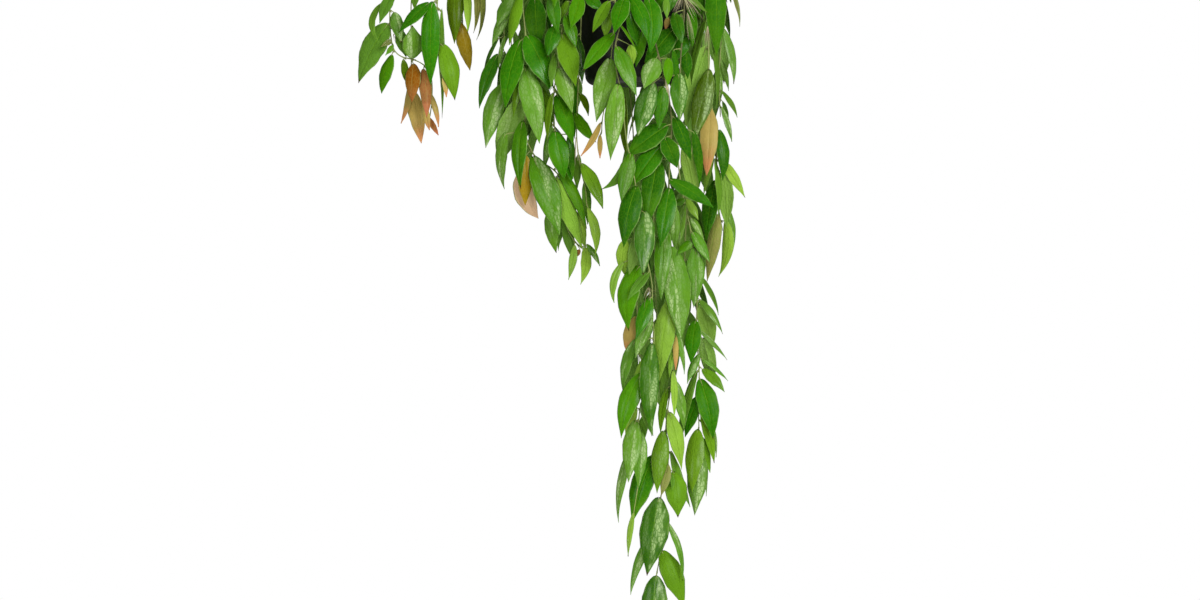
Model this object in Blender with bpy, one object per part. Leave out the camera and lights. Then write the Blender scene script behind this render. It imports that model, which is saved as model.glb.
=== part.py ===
"""Ceratostema hanging basket: a small plastic hanging pot with trailing, leafy shoots.

Everything is in metres with +Z up. The origin is the point of the hook that rests on a rail, so the
whole plant hangs below it. The layout tables are in centimetres, measured from the middle of the pot's
rim: x to the right, y away from the front, z up. Each shoot is a stem that grew with its own leaves, so
a shoot is one closed body: leaves are drawn out of the sides of the stem.
"""

import math
import random

import bmesh
import bpy
from mathutils import Matrix, Vector
from mathutils.bvhtree import BVHTree

# ---------------------------------------------------------------- driving dimensions
CM = 0.01
RIM_Z = -0.380  # the rim's plane, below the hook's bearing point
POT_HEIGHT = 0.127
POT_BASE_RADIUS = 0.0585  # where the wall meets the rounded lower corner
POT_CORNER = 0.012
POT_WALL_TOP_RADIUS = 0.0785  # just under the rim band
RIM_RADIUS = 0.083
RIM_BAND_HEIGHT = 0.014
POT_WALL = 0.0015
POT_SEGMENTS = 32
DRAIN_RADIUS = 0.0045
DRAIN_RING_RADIUS = 0.034
DRAIN_COUNT = 6

SOIL_TOP = RIM_Z - 0.016
FIT_GAP = 0.0004  # between pieces that touch

HOOK_BAR = 0.0026
HOOK_INNER = 0.014
BOSS_Z = -0.046
BOSS_RADIUS = 0.0075
STRAP_WIDTH = 0.0055
STRAP_THICK = 0.0024
STRAP_ANGLES = (90, 210, 330)

STEM_SIDES = 4
TIP_STEM = 0.10  # stem radius at a shoot's tip, cm
NODE_HALF = 0.16  # half the length of stem that a leaf stalk grows from, cm
NODE_STEP = 0.42  # least distance along the stem between two leaf nodes, cm
STALK_OFFSET = 0.45  # from the stem's axis to where a blade starts, cm
LEAF_THICK = 0.06  # half thickness of a blade at its midrib, cm
CLEAR = 0.12  # room kept round each blade, cm
SMALL_LEAF = 5.2  # a blade shorter than this needs one width only, cm
FILL_LOW = -2.2  # a fill leaf that reaches below this height hangs behind its stem, cm

TONES = {
    "d": (0.045, 0.150, 0.015),
    "m": (0.070, 0.230, 0.016),
    "g": (0.110, 0.310, 0.012),
    "y": (0.260, 0.380, 0.030),
    "l": (0.270, 0.420, 0.120),
    "s": (0.120, 0.260, 0.080),
    "h": (0.070, 0.190, 0.030),
    "o": (0.200, 0.230, 0.020),
    "q": (0.160, 0.200, 0.030),
    "a": (0.330, 0.190, 0.030),
    "t": (0.420, 0.290, 0.100),
    "b": (0.400, 0.150, 0.030),
    "r": (0.350, 0.120, 0.060),
    "p": (0.560, 0.360, 0.240),
    "n": (0.270, 0.190, 0.070),
    "e": (0.110, 0.230, 0.040),
    "k": (0.030, 0.090, 0.020),
}

# ---------------------------------------------------------------- the shoots
# path: points that the stem passes, from the potting mix to its tip.
# leaves: (x, z of the blade's start, x, z of its tip, width, how far the tip leans back, the way its
# upper side faces in degrees: 0 to the front, 90 to the right, tone, sideways bow).
# fill: (from, to along the stem as shares, how many leaves, tone, least x, greatest x).
SHOOTS = {
    "shoot_left_1": {
        "path": [(-2.0, 0.6, -1.5), (-3.6, 0.3, 4.5), (-9, -0.5, 10.5), (-19, -1.6, 12.5),
                 (-27, -2.4, 9), (-31, -2.8, 2.5), (-31.4, -2.9, -3), (-31.1, -2.9, -7.6),
                 (-30, -2.8, -9.1), (-28.4, -2.7, -9.5), (-26.9, -2.6, -10.3), (-26, -2.5, -11.8),
                 (-25.9, -2.5, -14.5), (-26.2, -2.5, -17.2)],
        "radius": 0.20,
        "leaves": [
            (-32.2, -2.0, -32.7, -7.5, 1.1, -1.2, -30, "e", -2.3),
            (-31.0, -0.8, -32.6, -5.0, 1.7, -2.2, -15, "e", 0),
            (-30.8, -3.4, -29.9, -7.4, 1.9, -0.8, 20, "s", 0),
            (-30.3, -5.6, -29.3, -9.2, 1.8, 0.8, 15, "e", 0),
            (-31.8, -5.0, -35.6, -12.6, 3.5, 0.6, -15, "e", -0.4),
            (-31.2, -7.0, -32.5, -8.1, 0.8, -0.8, 10, "t", 0.2),
            (-30.9, -7.7, -31.9, -9.1, 0.7, -1.2, 30, "s", 0),
            (-31.2, -9.0, -32.5, -14.0, 1.9, -0.3, -25, "g", -0.2),
            (-29.6, -9.6, -29.2, -12.9, 1.1, 0.2, 20, "m", 0),
            (-28.4, -9.3, -28.4, -5.1, 2.9, -0.9, 10, "e", 0),
            (-28.3, -10.2, -28.5, -15.2, 2.2, -0.9, -15, "b", 0),
            (-27.0, -10.9, -26.5, -17.2, 1.7, -1.6, 10, "r", 0.2),
            (-26.3, -13.6, -25.0, -18.4, 0.9, -0.4, 30, "t", 0.3),
            (-26.5, -16.6, -25.1, -19.4, 0.8, -0.6, 0, "r", 0),
            (-26.9, -15.4, -26.2, -18.8, 1.1, -0.2, -30, "t", 0),
        ],
        "fill": (0.06, 0.60, 6, "m", -34, 4),
        "tone": "m",
    },
    "shoot_left_2": {
        "path": [(-2.6, 2.2, -1.5), (-4, 2.6, 5), (-10, 2.8, 9), (-20, 2.4, 10), (-26.6, 1.6, 6.5),
                 (-28.6, 1.0, 0), (-28.8, 0.8, -6), (-28.7, 0.6, -13.4)],
        "radius": 0.18,
        "leaves": [
            (-28.4, 1.8, -28.3, -2.9, 1.7, -1.5, 10, "e", 0),
            (-28.5, -13.6, -27.4, -20.4, 2.2, -0.8, 10, "t", 0),
            (-29.1, -12.6, -30.1, -17.8, 1.0, -0.2, -20, "t", 0.9),
        ],
        "fill": (0.10, 0.60, 5, "m", -33, -3),
        "tone": "m",
    },
    "shoot_left_3": {
        "path": [(-1.2, -1.0, -1.5), (-3.4, -1.5, 5.5), (-9, -2.6, 9.5), (-17, -4.0, 10),
                 (-22.6, -4.4, 6.5), (-24.8, -4.6, 0.5), (-25.1, -4.6, -6), (-24.6, -4.5, -13.6)],
        "radius": 0.18,
        "leaves": [
            (-26.3, -2.3, -30.1, -6.2, 1.9, -1.0, -20, "m", 0),
            (-25.8, -2.4, -26.0, -13.0, 2.6, 0.4, -5, "g", 0),
            (-24.5, -3.4, -24.6, -17.2, 1.6, 1.8, 62, "s", -0.9),
            (-24.4, -7.8, -22.8, -15.0, 2.6, -1.2, 10, "y", 0.3),
            (-24.3, -11.8, -23.9, -14.6, 0.8, -0.9, 20, "t", 0),
        ],
        "fill": (0.10, 0.62, 4, "m", -33, -3),
        "tone": "g",
    },
    "shoot_left_4": {
        "path": [(-3.2, -0.4, -1.5), (-5, -0.6, 4.5), (-10.5, -1.0, 7.4), (-17, -1.2, 6.6),
                 (-20.8, -1.3, 2.5), (-21.9, -1.4, -2), (-21.9, -1.4, -5.2)],
        "radius": 0.17,
        "leaves": [
            (-22.7, 1.4, -23.0, -7.4, 2.4, -0.9, -10, "o", 0),
            (-22.3, -4.6, -21.0, -10.8, 2.0, -0.7, 15, "a", 0),
            (-21.3, -0.4, -21.2, -6.2, 1.5, -1.6, 45, "l", 0),
            (-20.4, 1.0, -20.5, -6.0, 1.4, 0.4, 50, "n", 0.5),
            (-20.0, 2.0, -20.1, -6.8, 1.3, 1.2, 55, "n", 0.9),
        ],
        "fill": (0.10, 0.74, 4, "m", -25, -3),
        "tone": "o",
    },
    "shoot_middle_1": {
        "path": [(-1.9, -2.2, -1.5), (-3.6, -4.6, 4.4), (-8.4, -6.2, 7.0), (-12.6, -6.6, 3.6),
                 (-13.9, -6.8, -1), (-13.6, -6.8, -7), (-13.9, -6.8, -11), (-13.6, -6.6, -16),
                 (-13.4, -6.5, -20), (-12.1, -6.4, -22.6), (-10.3, -6.3, -23.8), (-9.1, -6.2, -25.2),
                 (-8.6, -6.1, -28.4), (-8.3, -6.0, -31.2), (-7.3, -5.9, -33.2), (-6.2, -5.8, -34.4)],
        "radius": 0.20,
        "leaves": [
            (-14.3, -1.6, -15.7, -8.0, 1.9, -0.6, -30, "y", 0),
            (-13.3, -6.8, -10.3, -13.9, 3.6, -1.2, 15, "m", 0.3),
            (-14.3, -12.2, -15.2, -17.4, 1.2, 0.9, -25, "y", 0),
            (-6.5, -34.5, -7.5, -35.6, 0.8, -0.5, -20, "r", 0),
            (-14.3, -7.4, -16.2, -16.2, 3.2, -0.8, -20, "m", -0.4),
            (-13.7, -10.8, -11.7, -20.8, 3.2, -2.0, 5, "s", 0.3),
            (-14.2, -15.0, -17.3, -24.0, 3.2, 2.4, 170, "s", -0.4),
            (-14.0, -18.0, -14.2, -26.7, 2.4, -0.8, -30, "g", -0.3),
            (-16.2, -19.4, -16.4, -26.6, 1.7, 2.4, -20, "s", -0.8),
            (-13.6, -22.4, -13.6, -28.7, 2.1, -0.5, 5, "a", 0),
            (-14.0, -24.4, -11.9, -30.4, 2.9, 0.4, 165, "p", -1.4),
            (-12.5, -22.6, -9.1, -32.7, 3.5, -0.8, 5, "g", 0.2),
            (-9.4, -23.6, -5.6, -31.8, 1.6, 0.2, 20, "g", 0.5),
            (-6.8, -29.6, -5.7, -34.4, 1.6, 0.8, 10, "y", -0.3),
            (-9.6, -25.2, -6.1, -34.5, 2.4, -1.8, 12, "l", -0.2),
            (-10.6, -29.6, -9.6, -34.9, 1.8, 0.6, -15, "s", 0),
            (-8.8, -29.8, -9.4, -34.6, 1.4, 0.6, -20, "o", 0),
            (-8.5, -30.6, -7.3, -36.0, 1.5, 0.6, -10, "e", 0),
            (-7.2, -34.0, -8.0, -38.4, 1.1, -0.4, -10, "l", 0.3),
            (-5.8, -34.2, -6.4, -39.0, 1.5, -1.2, 20, "l", 0.6),
            (-5.6, -33.8, -3.9, -36.6, 0.9, 0.5, 20, "s", 0.3),
        ],
        "fill": (0.08, 0.32, 3, "m", -17, 0),
        "tone": "m",
    },
    "shoot_middle_2": {
        "path": [(-1.0, -3.2, -1.5), (-2.6, -6.2, 4.6), (-5.2, -8.2, 3.8), (-6.8, -8.8, -1),
                 (-7.9, -8.9, -3.6), (-8.8, -8.9, -6), (-9.2, -8.8, -10), (-9.8, -8.6, -14),
                 (-9.8, -8.5, -18.5), (-9.6, -8.4, -21.4)],
        "radius": 0.17,
        "leaves": [
            (-9.5, 1.6, -9.8, -3.4, 2.0, -0.5, -10, "g", 0),
            (-10.1, -1.6, -9.2, -6.7, 1.9, -1.2, -5, "m", -0.3),
            (-9.7, -5.6, -10.7, -9.7, 2.2, -1.0, -15, "m", 0),
            (-9.8, -9.2, -10.2, -13.8, 1.1, 0.9, -20, "o", 0),
            (-8.8, -6.8, -7.0, -13.5, 2.9, -0.8, 10, "y", 0),
            (-9.1, -11.0, -7.4, -17.0, 2.6, -1.4, 10, "s", 0),
            (-9.4, -14.6, -7.3, -21.0, 2.4, -0.7, 15, "m", 0),
            (-10.1, -14.4, -10.7, -20.4, 1.6, -0.6, -55, "y", 0),
            (-6.4, -1.8, -7.7, -6.1, 2.1, -1.2, 10, "g", 0),
            (-8.3, -4.3, -7.0, -8.5, 1.8, -1.4, 20, "g", 0),
            (-8.1, -2.4, -9.1, -4.8, 1.2, 0.8, -20, "y", 0),
            (-9.7, -19.4, -8.5, -25.4, 2.8, -0.5, 5, "m", 0),
            (-10.2, -18.6, -11.2, -24.4, 1.5, 1.8, -20, "g", 0),
            (-8.9, -20.6, -7.5, -25.9, 1.5, 1.0, 30, "m", 0),
            (-7.9, -19.6, -7.4, -25.4, 1.2, 0.9, 10, "d", 0),
        ],
        "fill": (0.10, 0.30, 2, "m", -12, 0),
        "tone": "s",
    },
    "shoot_middle_3": {
        "path": [(-4.4, 1.4, -1.5), (-6.6, 1.0, 3.6), (-11.2, -0.6, 5.6), (-15.2, -2.2, 2.4),
                 (-16.1, -3.0, -2.4), (-16.6, -3.4, -8), (-16.8, -3.5, -12), (-16.5, -3.5, -15)],
        "radius": 0.17,
        "leaves": [
            (-15.4, -1.2, -17.4, -5.5, 1.9, -1.6, -15, "o", 0),
            (-15.9, -3.0, -18.0, -7.8, 1.5, -2.4, -15, "e", 0),
            (-17.2, -6.8, -19.2, -11.8, 0.6, 0.6, -25, "k", -0.4),
            (-16.4, -6.6, -17.1, -11.2, 1.0, -1.6, -50, "s", 0),
            (-17.3, -9.0, -19.7, -16.0, 2.1, -0.4, -25, "d", -0.3),
            (-16.4, -8.6, -16.6, -12.0, 0.9, -1.4, 0, "s", 0),
            (-16.7, -13.0, -18.8, -21.2, 2.8, -1.0, -10, "e", -0.4),
            (-16.1, -14.2, -15.9, -19.6, 1.8, 0.6, 25, "y", 0),
        ],
        "fill": (0.10, 0.34, 2, "m", -19, -3),
        "tone": "d",
    },
    "shoot_middle_4": {
        "path": [(-3.6, -1.4, -1.5), (-5.8, -1.9, 3.4), (-9.4, -3.9, 5.0), (-11.6, -5.2, 1.4),
                 (-12.1, -5.2, -3.4), (-12.1, -4.6, -9), (-11.9, -4.2, -14)],
        "radius": 0.16,
        "leaves": [
            (-12.4, -1.8, -12.0, -8.4, 3.0, -1.2, 0, "d", 0),
            (-11.7, -5.8, -12.6, -11.4, 1.9, -0.8, -15, "m", 0),
            (-12.4, -11.0, -13.0, -17.0, 2.0, 1.2, -20, "m", 0),
            (-11.5, -13.4, -10.4, -19.6, 2.0, 1.0, 30, "y", 0),
        ],
        "fill": (0.12, 0.80, 3, "m", -15, -8.5),
        "tone": "m",
    },
    "shoot_middle_5": {
        "path": [(0.2, -4.0, -1.5), (-0.8, -7.0, 3.6), (-1.6, -9.6, 2.2), (-1.9, -10.6, -2.4),
                 (-2.2, -10.8, -7), (-2.6, -10.8, -11), (-3.1, -10.6, -15), (-3.6, -10.4, -18),
                 (-3.7, -10.3, -19.6)],
        "radius": 0.14,
        "leaves": [
            (-2.8, -2.6, -4.9, -6.7, 1.7, -0.8, -15, "y", 0),
            (-2.9, -3.8, -3.2, -7.4, 1.5, 0.8, -10, "y", 0),
            (-2.2, -6.8, -6.1, -11.6, 2.2, -0.9, -20, "g", 0),
            (-2.7, -10.5, -4.4, -18.2, 2.9, -1.4, -5, "s", 0.2),
            (-3.9, -18.3, -6.4, -22.5, 0.9, -0.6, -20, "t", 0.8),
            (-3.9, -19.8, -3.9, -22.8, 0.7, -0.2, 0, "t", 0),
        ],
        "fill": (0.10, 0.34, 2, "m", -6, 2),
        "tone": "g",
    },
    "shoot_middle_6": {
        "path": [(-3.4, -2.8, -1.5), (-4.8, -5.6, 1.6), (-5.6, -7.8, 0.9), (-6.2, -8.2, -3),
                 (-6.5, -7.4, -9), (-6.8, -6.9, -15), (-6.9, -6.8, -20), (-6.4, -6.8, -24),
                 (-5.8, -6.8, -26.4), (-5.6, -6.9, -28.8)],
        "radius": 0.15,
        "leaves": [
            (-5.9, -1.5, -3.3, -3.8, 1.6, -0.4, 10, "m", 0),
            (-6.9, -6.9, -6.2, -13.1, 1.5, -0.8, 20, "k", 0),
            (-7.2, -12.9, -7.2, -20.0, 1.3, 0.9, -25, "d", 0),
            (-6.5, -14.2, -5.4, -17.2, 1.0, -1.0, 20, "a", 0.3),
            (-7.0, -16.8, -4.4, -20.6, 1.7, -0.9, 20, "g", -0.8),
            (-6.2, -23.4, -3.5, -29.2, 2.0, -1.3, 20, "y", 0.2),
            (-6.7, -22.2, -6.9, -26.8, 1.2, 1.0, -20, "e", 0),
            (-5.8, -25.6, -5.5, -31.2, 1.3, 0.6, 20, "e", 0),
            (-5.4, -29.2, -4.5, -35.2, 1.4, -0.6, 20, "l", 0.8),
        ],
        "fill": (0.10, 0.70, 2, "d", -9, -6.3),
        "tone": "d",
    },
    "shoot_middle_7": {
        "path": [(-3.4, 3.6, -1.5), (-5.4, 5.2, 3.4), (-9.4, 6.2, 4.2), (-12, 5.4, 0),
                 (-12.6, 4.0, -6), (-11.8, 2.6, -13), (-10.2, 1.4, -19.5)],
        "radius": 0.17,
        "leaves": [],
        "fill": (0.10, 1.0, 9, "m", -16, -5.6),
        "tone": "m",
    },
    "shoot_middle_8": {
        "path": [(-5.2, 3.0, -1.5), (-8.4, 3.4, 3.0), (-13.4, 3.0, 3.2), (-15.4, 2.0, -1.6),
                 (-15.6, 1.0, -8), (-15.0, 0.2, -14.6)],
        "radius": 0.16,
        "leaves": [],
        "fill": (0.12, 1.0, 7, "m", -18, -7),
        "tone": "o",
    },
    "shoot_right_1": {
        "path": [(1.2, -3.0, -1.5), (2.4, -6.2, 4.6), (2.9, -9.4, 2.6), (3.1, -11.2, -3),
                 (3.1, -11.5, -7), (3.7, -11.5, -10), (4.4, -11.5, -12.8), (5.0, -11.5, -15.4),
                 (5.3, -11.4, -19), (5.0, -11.4, -24), (4.9, -11.3, -31), (5.0, -11.2, -36),
                 (5.0, -11.1, -41), (5.6, -11.0, -45.5), (5.3, -11.0, -51), (4.6, -11.0, -57),
                 (4.9, -11.0, -60.5), (4.7, -11.0, -63.6), (3.9, -11.1, -66.4), (3.9, -11.2, -70),
                 (3.8, -11.2, -73.4), (3.4, -11.2, -76.2)],
        "radius": 0.20,
        "leaves": [
            (4.6, -2.2, 4.7, -5.0, 1.0, -0.6, 10, "e", 0),
            (4.2, -1.2, 3.6, -4.6, 1.5, 0.8, -10, "m", 0),
            (2.3, -2.2, 2.5, -9.4, 2.8, -0.8, 5, "m", 0.8),
            (1.7, -6.4, 0.7, -11.0, 1.5, 0.8, -15, "g", 0),
            (3.3, -10.0, 1.7, -14.0, 2.7, -1.6, -10, "s", 0),
            (4.9, -10.0, 4.8, -13.6, 1.5, -0.8, 20, "g", 0),
            (2.8, -13.2, 0.9, -20.1, 2.9, -1.2, -12, "h", 0),
            (4.2, -13.8, 3.6, -19.2, 2.1, -0.6, 0, "m", 0),
            (6.2, -12.0, 6.3, -18.0, 2.4, -0.9, 10, "h", 0),
            (4.6, -18.6, -0.7, -22.7, 3.2, -1.0, -15, "d", 0),
            (5.7, -17.6, 7.8, -23.2, 2.1, -0.6, 15, "d", 0),
            (4.4, -19.8, 6.0, -24.1, 2.4, -1.8, 8, "d", 0),
            (3.9, -21.2, 0.2, -26.4, 3.1, 0.8, -15, "m", 0),
            (3.5, -23.0, 2.1, -31.4, 3.1, -1.6, -8, "d", 0),
            (5.2, -25.6, 10.7, -29.2, 2.1, -1.0, 15, "d", 0.3),
            (5.0, -26.8, 3.8, -34.2, 2.6, -1.0, 0, "m", 0),
            (5.6, -28.6, 5.7, -34.6, 1.5, 0.7, 10, "s", 0),
            (4.4, -31.6, 3.9, -41.0, 2.3, -0.9, -5, "g", 0),
            (5.2, -34.4, 6.5, -46.0, 3.8, -1.4, 8, "s", 0.3),
            (5.0, -41.2, 3.7, -51.5, 2.9, -1.3, -5, "l", -0.3),
            (6.0, -44.6, 7.0, -50.6, 1.2, 0.6, 50, "s", 0),
            (5.8, -45.6, 5.8, -50.0, 0.8, -0.5, 10, "t", 0),
            (5.4, -47.4, 5.0, -51.0, 0.8, -0.8, -20, "l", 0),
            (4.8, -49.0, 4.3, -55.8, 1.5, 0.8, -10, "e", 0),
            (4.7, -52.4, 3.9, -58.3, 1.1, 0.7, -20, "y", -0.3),
            (5.5, -50.2, 5.6, -56.2, 1.0, -0.5, 20, "l", 0),
            (5.9, -51.6, 6.9, -57.6, 1.6, 0.9, 25, "s", 0),
            (5.1, -55.6, 6.6, -62.8, 2.3, -0.5, 12, "l", 0),
            (4.2, -58.0, 3.4, -65.8, 2.3, -0.8, -8, "y", -0.2),
            (5.3, -60.6, 7.8, -67.8, 1.5, 0.8, 40, "s", -0.5),
            (4.8, -62.2, 3.8, -66.6, 1.5, -1.7, 10, "n", 0.2),
            (5.2, -63.0, 5.3, -65.4, 0.6, -1.2, 30, "e", 0.3),
            (5.6, -63.2, 6.1, -68.9, 3.0, -1.4, 12, "y", 0),
            (2.9, -61.2, 0.2, -69.7, 3.0, -0.6, -15, "m", -0.3),
            (3.6, -66.6, 2.1, -76.3, 3.8, -1.6, -5, "h", 0),
            (4.6, -69.4, 6.7, -77.0, 1.2, -0.4, 45, "s", 0.8),
            (3.2, -70.6, 0.0, -79.0, 1.7, 1.0, -40, "s", -0.7),
            (4.1, -73.4, 7.0, -80.6, 2.9, -0.6, 12, "l", 0.2),
            (3.3, -76.6, 2.6, -84.6, 3.3, -0.7, -3, "h", 0),
        ],
        "fill": (0.03, 0.06, 1, "m", -1, 8),
        "tone": "m",
    },
    "shoot_right_2": {
        "path": [(3.2, -1.6, -1.5), (5.0, -3.8, 4.4), (6.4, -6.4, 2.8), (7.0, -7.6, -3),
                 (6.6, -7.8, -9), (6.2, -8.2, -16), (6.2, -8.6, -23), (6.9, -8.7, -28),
                 (7.8, -8.7, -32), (8.3, -8.6, -36), (8.6, -8.5, -41), (8.6, -8.4, -45),
                 (8.9, -8.3, -50), (8.9, -8.2, -55), (8.9, -8.2, -60)],
        "radius": 0.19,
        "leaves": [
            (5.7, -1.0, 5.1, -3.7, 1.5, -0.6, -10, "m", 0),
            (6.8, -1.4, 10.0, -3.9, 0.9, -0.8, 10, "e", 0.2),
            (5.7, -3.9, 6.7, -7.9, 1.8, -1.2, 5, "d", 0),
            (4.9, -4.4, 4.6, -6.0, 0.8, 0.6, 0, "t", 0),
            (5.5, -6.0, 1.8, -10.4, 3.2, -0.8, -10, "d", 0.3),
            (5.6, -8.6, 6.1, -14.3, 1.1, -0.8, 30, "d", 0),
            (8.2, -19.2, 9.0, -26.4, 1.4, 1.0, 20, "d", 0.3),
            (7.0, -21.2, 8.7, -28.6, 2.2, 0.8, 165, "l", 0),
            (7.4, -28.0, 8.8, -30.7, 1.3, -0.7, 20, "l", 0),
            (7.9, -30.4, 9.6, -33.2, 1.2, 0.6, 30, "s", 0),
            (7.0, -28.0, 5.4, -28.9, 1.0, -0.8, -10, "g", 0),
            (6.9, -28.8, 6.2, -34.4, 1.5, -0.4, -35, "s", 0),
            (8.1, -32.3, 10.3, -36.2, 1.6, -0.8, 15, "g", 0),
            (7.9, -33.4, 6.0, -35.2, 1.4, -1.2, -10, "g", 0),
            (8.4, -34.4, 8.2, -42.0, 2.5, -0.8, 10, "s", 0),
            (9.0, -37.8, 11.5, -43.0, 1.4, 0.5, 60, "e", 0.3),
            (9.0, -41.0, 12.0, -45.4, 1.3, -0.6, 35, "e", 0.4),
            (9.2, -41.6, 10.6, -47.6, 2.3, 1.2, 170, "l", 0.3),
            (8.4, -43.8, 7.8, -49.2, 2.2, -1.3, -5, "m", 0),
            (9.1, -45.0, 12.6, -48.8, 1.2, 0.7, 62, "s", 0),
            (9.4, -46.0, 10.7, -52.0, 2.2, 1.6, 160, "s", 0.2),
            (8.8, -48.0, 7.3, -51.8, 1.3, -1.2, -30, "g", 0),
            (9.4, -48.6, 12.7, -51.5, 1.1, 0.4, 65, "s", 0),
            (9.4, -50.0, 12.2, -52.9, 1.5, -0.8, 10, "y", 0.4),
            (8.5, -50.4, 6.3, -61.2, 1.6, 0.4, -45, "e", -0.3),
            (9.1, -51.4, 10.7, -59.0, 2.9, -1.3, 10, "m", 0.4),
            (8.7, -53.6, 7.1, -58.8, 1.9, -1.0, -15, "m", 0),
            (9.3, -55.4, 10.9, -62.1, 1.5, -0.3, 20, "y", 0),
            (9.2, -58.7, 10.4, -63.4, 1.4, -1.2, 20, "y", 0),
            (8.7, -57.9, 7.9, -65.8, 2.5, -0.4, -14, "y", -0.2),
            (8.8, -60.4, 8.3, -68.8, 2.7, -1.0, 0, "s", 0),
            (9.3, -59.4, 9.9, -66.5, 1.1, 0.9, 35, "s", 0),
            (10.6, -57.4, 11.2, -61.5, 0.5, 0.7, 0, "s", 0.3),
        ],
        "fill": (0.04, 0.30, 2, "m", 3, 10),
        "tone": "m",
    },
    "shoot_right_3": {
        "path": [(-0.2, -2.2, -1.5), (-0.2, -5.8, 5.2), (0.0, -9.4, 4.0), (-0.4, -11.6, -1),
                 (-1.2, -12.6, -5.6), (-1.9, -12.8, -8.4), (-1.8, -12.9, -11.4), (-1.1, -12.8, -15),
                 (-0.6, -12.8, -20), (0.4, -12.8, -25), (1.2, -12.8, -30), (1.8, -12.8, -34.6),
                 (2.7, -12.7, -38.6), (2.8, -12.6, -43), (3.0, -12.6, -46.4), (2.2, -12.6, -51),
                 (1.2, -12.6, -55.2), (1.0, -12.6, -58.6), (0.9, -12.4, -62), (1.0, -12.2, -65)],
        "radius": 0.17,
        "leaves": [
            (-0.8, -2.2, -2.1, -7.1, 2.4, -0.9, -10, "m", 0),
            (0.1, -2.2, 2.2, -7.8, 2.3, -1.2, 10, "m", 0.7),
            (0.0, -4.0, 0.9, -8.5, 1.8, 0.9, 10, "m", 0),
            (-1.3, -5.7, 1.0, -9.8, 1.3, -1.2, 68, "g", 0),
            (0.0, -8.4, 0.3, -11.0, 1.4, 0.8, 10, "l", 0),
            (-1.7, -8.7, 0.8, -15.0, 2.3, -1.0, 10, "g", 0),
            (-1.6, -13.6, -2.6, -23.2, 2.6, -1.0, -10, "y", 0),
            (-0.7, -15.2, -0.5, -22.6, 1.8, 1.0, -50, "o", 0),
            (-0.6, -23.2, -3.8, -26.8, 1.3, 0.8, -20, "e", 2.0),
            (0.0, -22.4, -1.2, -28.4, 2.2, -0.6, -15, "g", 0),
            (0.7, -26.6, -0.9, -34.3, 3.0, -1.0, -12, "d", -0.4),
            (1.8, -29.8, 1.6, -37.9, 2.8, -2.6, 0, "e", 0),
            (1.3, -31.8, -0.2, -37.8, 1.9, 0.8, 165, "e", 0),
            (-0.6, -33.4, -0.6, -38.0, 1.8, 1.2, -10, "l", -0.7),
            (-1.0, -36.2, -2.1, -41.4, 1.2, 0.8, -30, "l", -1.0),
            (1.0, -36.8, -0.2, -45.0, 2.9, -0.5, -10, "g", -1.5),
            (2.3, -37.5, -0.4, -41.0, 1.3, -1.6, -20, "e", 0),
            (2.5, -40.8, 0.7, -46.0, 2.0, -0.8, -10, "m", 0),
            (2.6, -42.6, 0.6, -48.4, 1.9, 0.6, -20, "s", 0),
            (0.9, -43.2, 0.0, -48.4, 1.8, 1.4, -15, "t", -1.2),
            (2.8, -44.6, 0.1, -49.0, 1.2, -0.6, -50, "h", 0),
            (2.7, -46.8, 2.7, -58.4, 2.6, -1.2, 0, "h", -0.6),
            (1.9, -48.2, 0.1, -54.2, 1.4, 0.4, -30, "l", 0),
            (1.3, -50.6, -1.2, -58.7, 2.7, -0.8, -12, "g", -1.0),
            (0.6, -46.2, -1.0, -52.8, 1.6, 1.4, -20, "s", -0.6),
            (1.4, -54.2, 2.9, -58.4, 1.2, -1.1, 20, "e", 0),
            (0.7, -54.8, -0.6, -58.9, 1.6, 0.7, -10, "l", 0),
            (0.6, -56.6, -0.3, -64.2, 2.5, -0.7, -8, "s", 0),
            (2.2, -55.4, 0.6, -61.2, 1.6, -1.7, -20, "e", 0),
            (1.3, -58.0, 1.0, -65.2, 2.0, -0.3, 12, "s", 0),
            (0.4, -59.6, -1.6, -69.6, 1.5, 0.5, -35, "s", -0.8),
            (0.4, -68.4, -0.3, -74.0, 0.8, 0.8, -10, "l", -0.2),
        ],
        "fill": (0.05, 0.08, 1, "m", -3, 2),
        "tone": "s",
    },
    "shoot_right_4": {
        "path": [(4.4, 0.6, -1.5), (6.2, -0.8, 4.6), (8.8, -2.8, 3.6), (10.2, -4.4, -2),
                 (10.2, -5.0, -8), (10.3, -5.2, -12), (10.8, -5.4, -17), (11.3, -5.4, -23),
                 (11.5, -5.2, -28.6), (12.1, -5.0, -32)],
        "radius": 0.18,
        "leaves": [
            (11.2, 1.4, 11.3, -9.2, 3.0, -1.0, 5, "d", 0),
            (9.4, -0.8, 9.0, -4.2, 1.8, 0.8, 0, "d", 0),
            (10.0, -3.9, 7.9, -13.0, 1.8, -2.2, -30, "e", 0),
            (9.9, -8.2, 7.3, -18.6, 3.2, -0.9, 165, "l", -0.8),
            (10.2, -11.2, 8.1, -20.8, 2.8, -1.6, -10, "q", 0.3),
            (10.6, -6.0, 11.3, -16.4, 1.5, 0.8, 60, "e", 0.2),
            (10.4, -16.2, 9.9, -24.9, 2.5, -1.4, 0, "t", 0.2),
            (11.7, -19.0, 12.0, -25.5, 1.9, -0.8, 25, "d", 0.4),
            (10.8, -22.4, 9.6, -27.4, 1.3, 1.0, -50, "l", 0),
            (11.1, -22.8, 11.4, -30.2, 1.7, -0.9, 60, "e", 0),
            (12.0, -22.8, 15.0, -27.7, 1.5, -0.4, 15, "l", 0),
            (12.1, -24.4, 12.5, -31.6, 2.2, 0.8, 170, "y", 0.3),
            (11.1, -25.6, 9.8, -33.6, 2.4, -1.0, -10, "d", 0),
            (11.4, -30.0, 10.0, -38.6, 1.9, -0.8, -20, "n", 0.2),
            (12.5, -30.8, 11.5, -38.0, 1.6, 0.5, -15, "l", 1.6),
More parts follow.
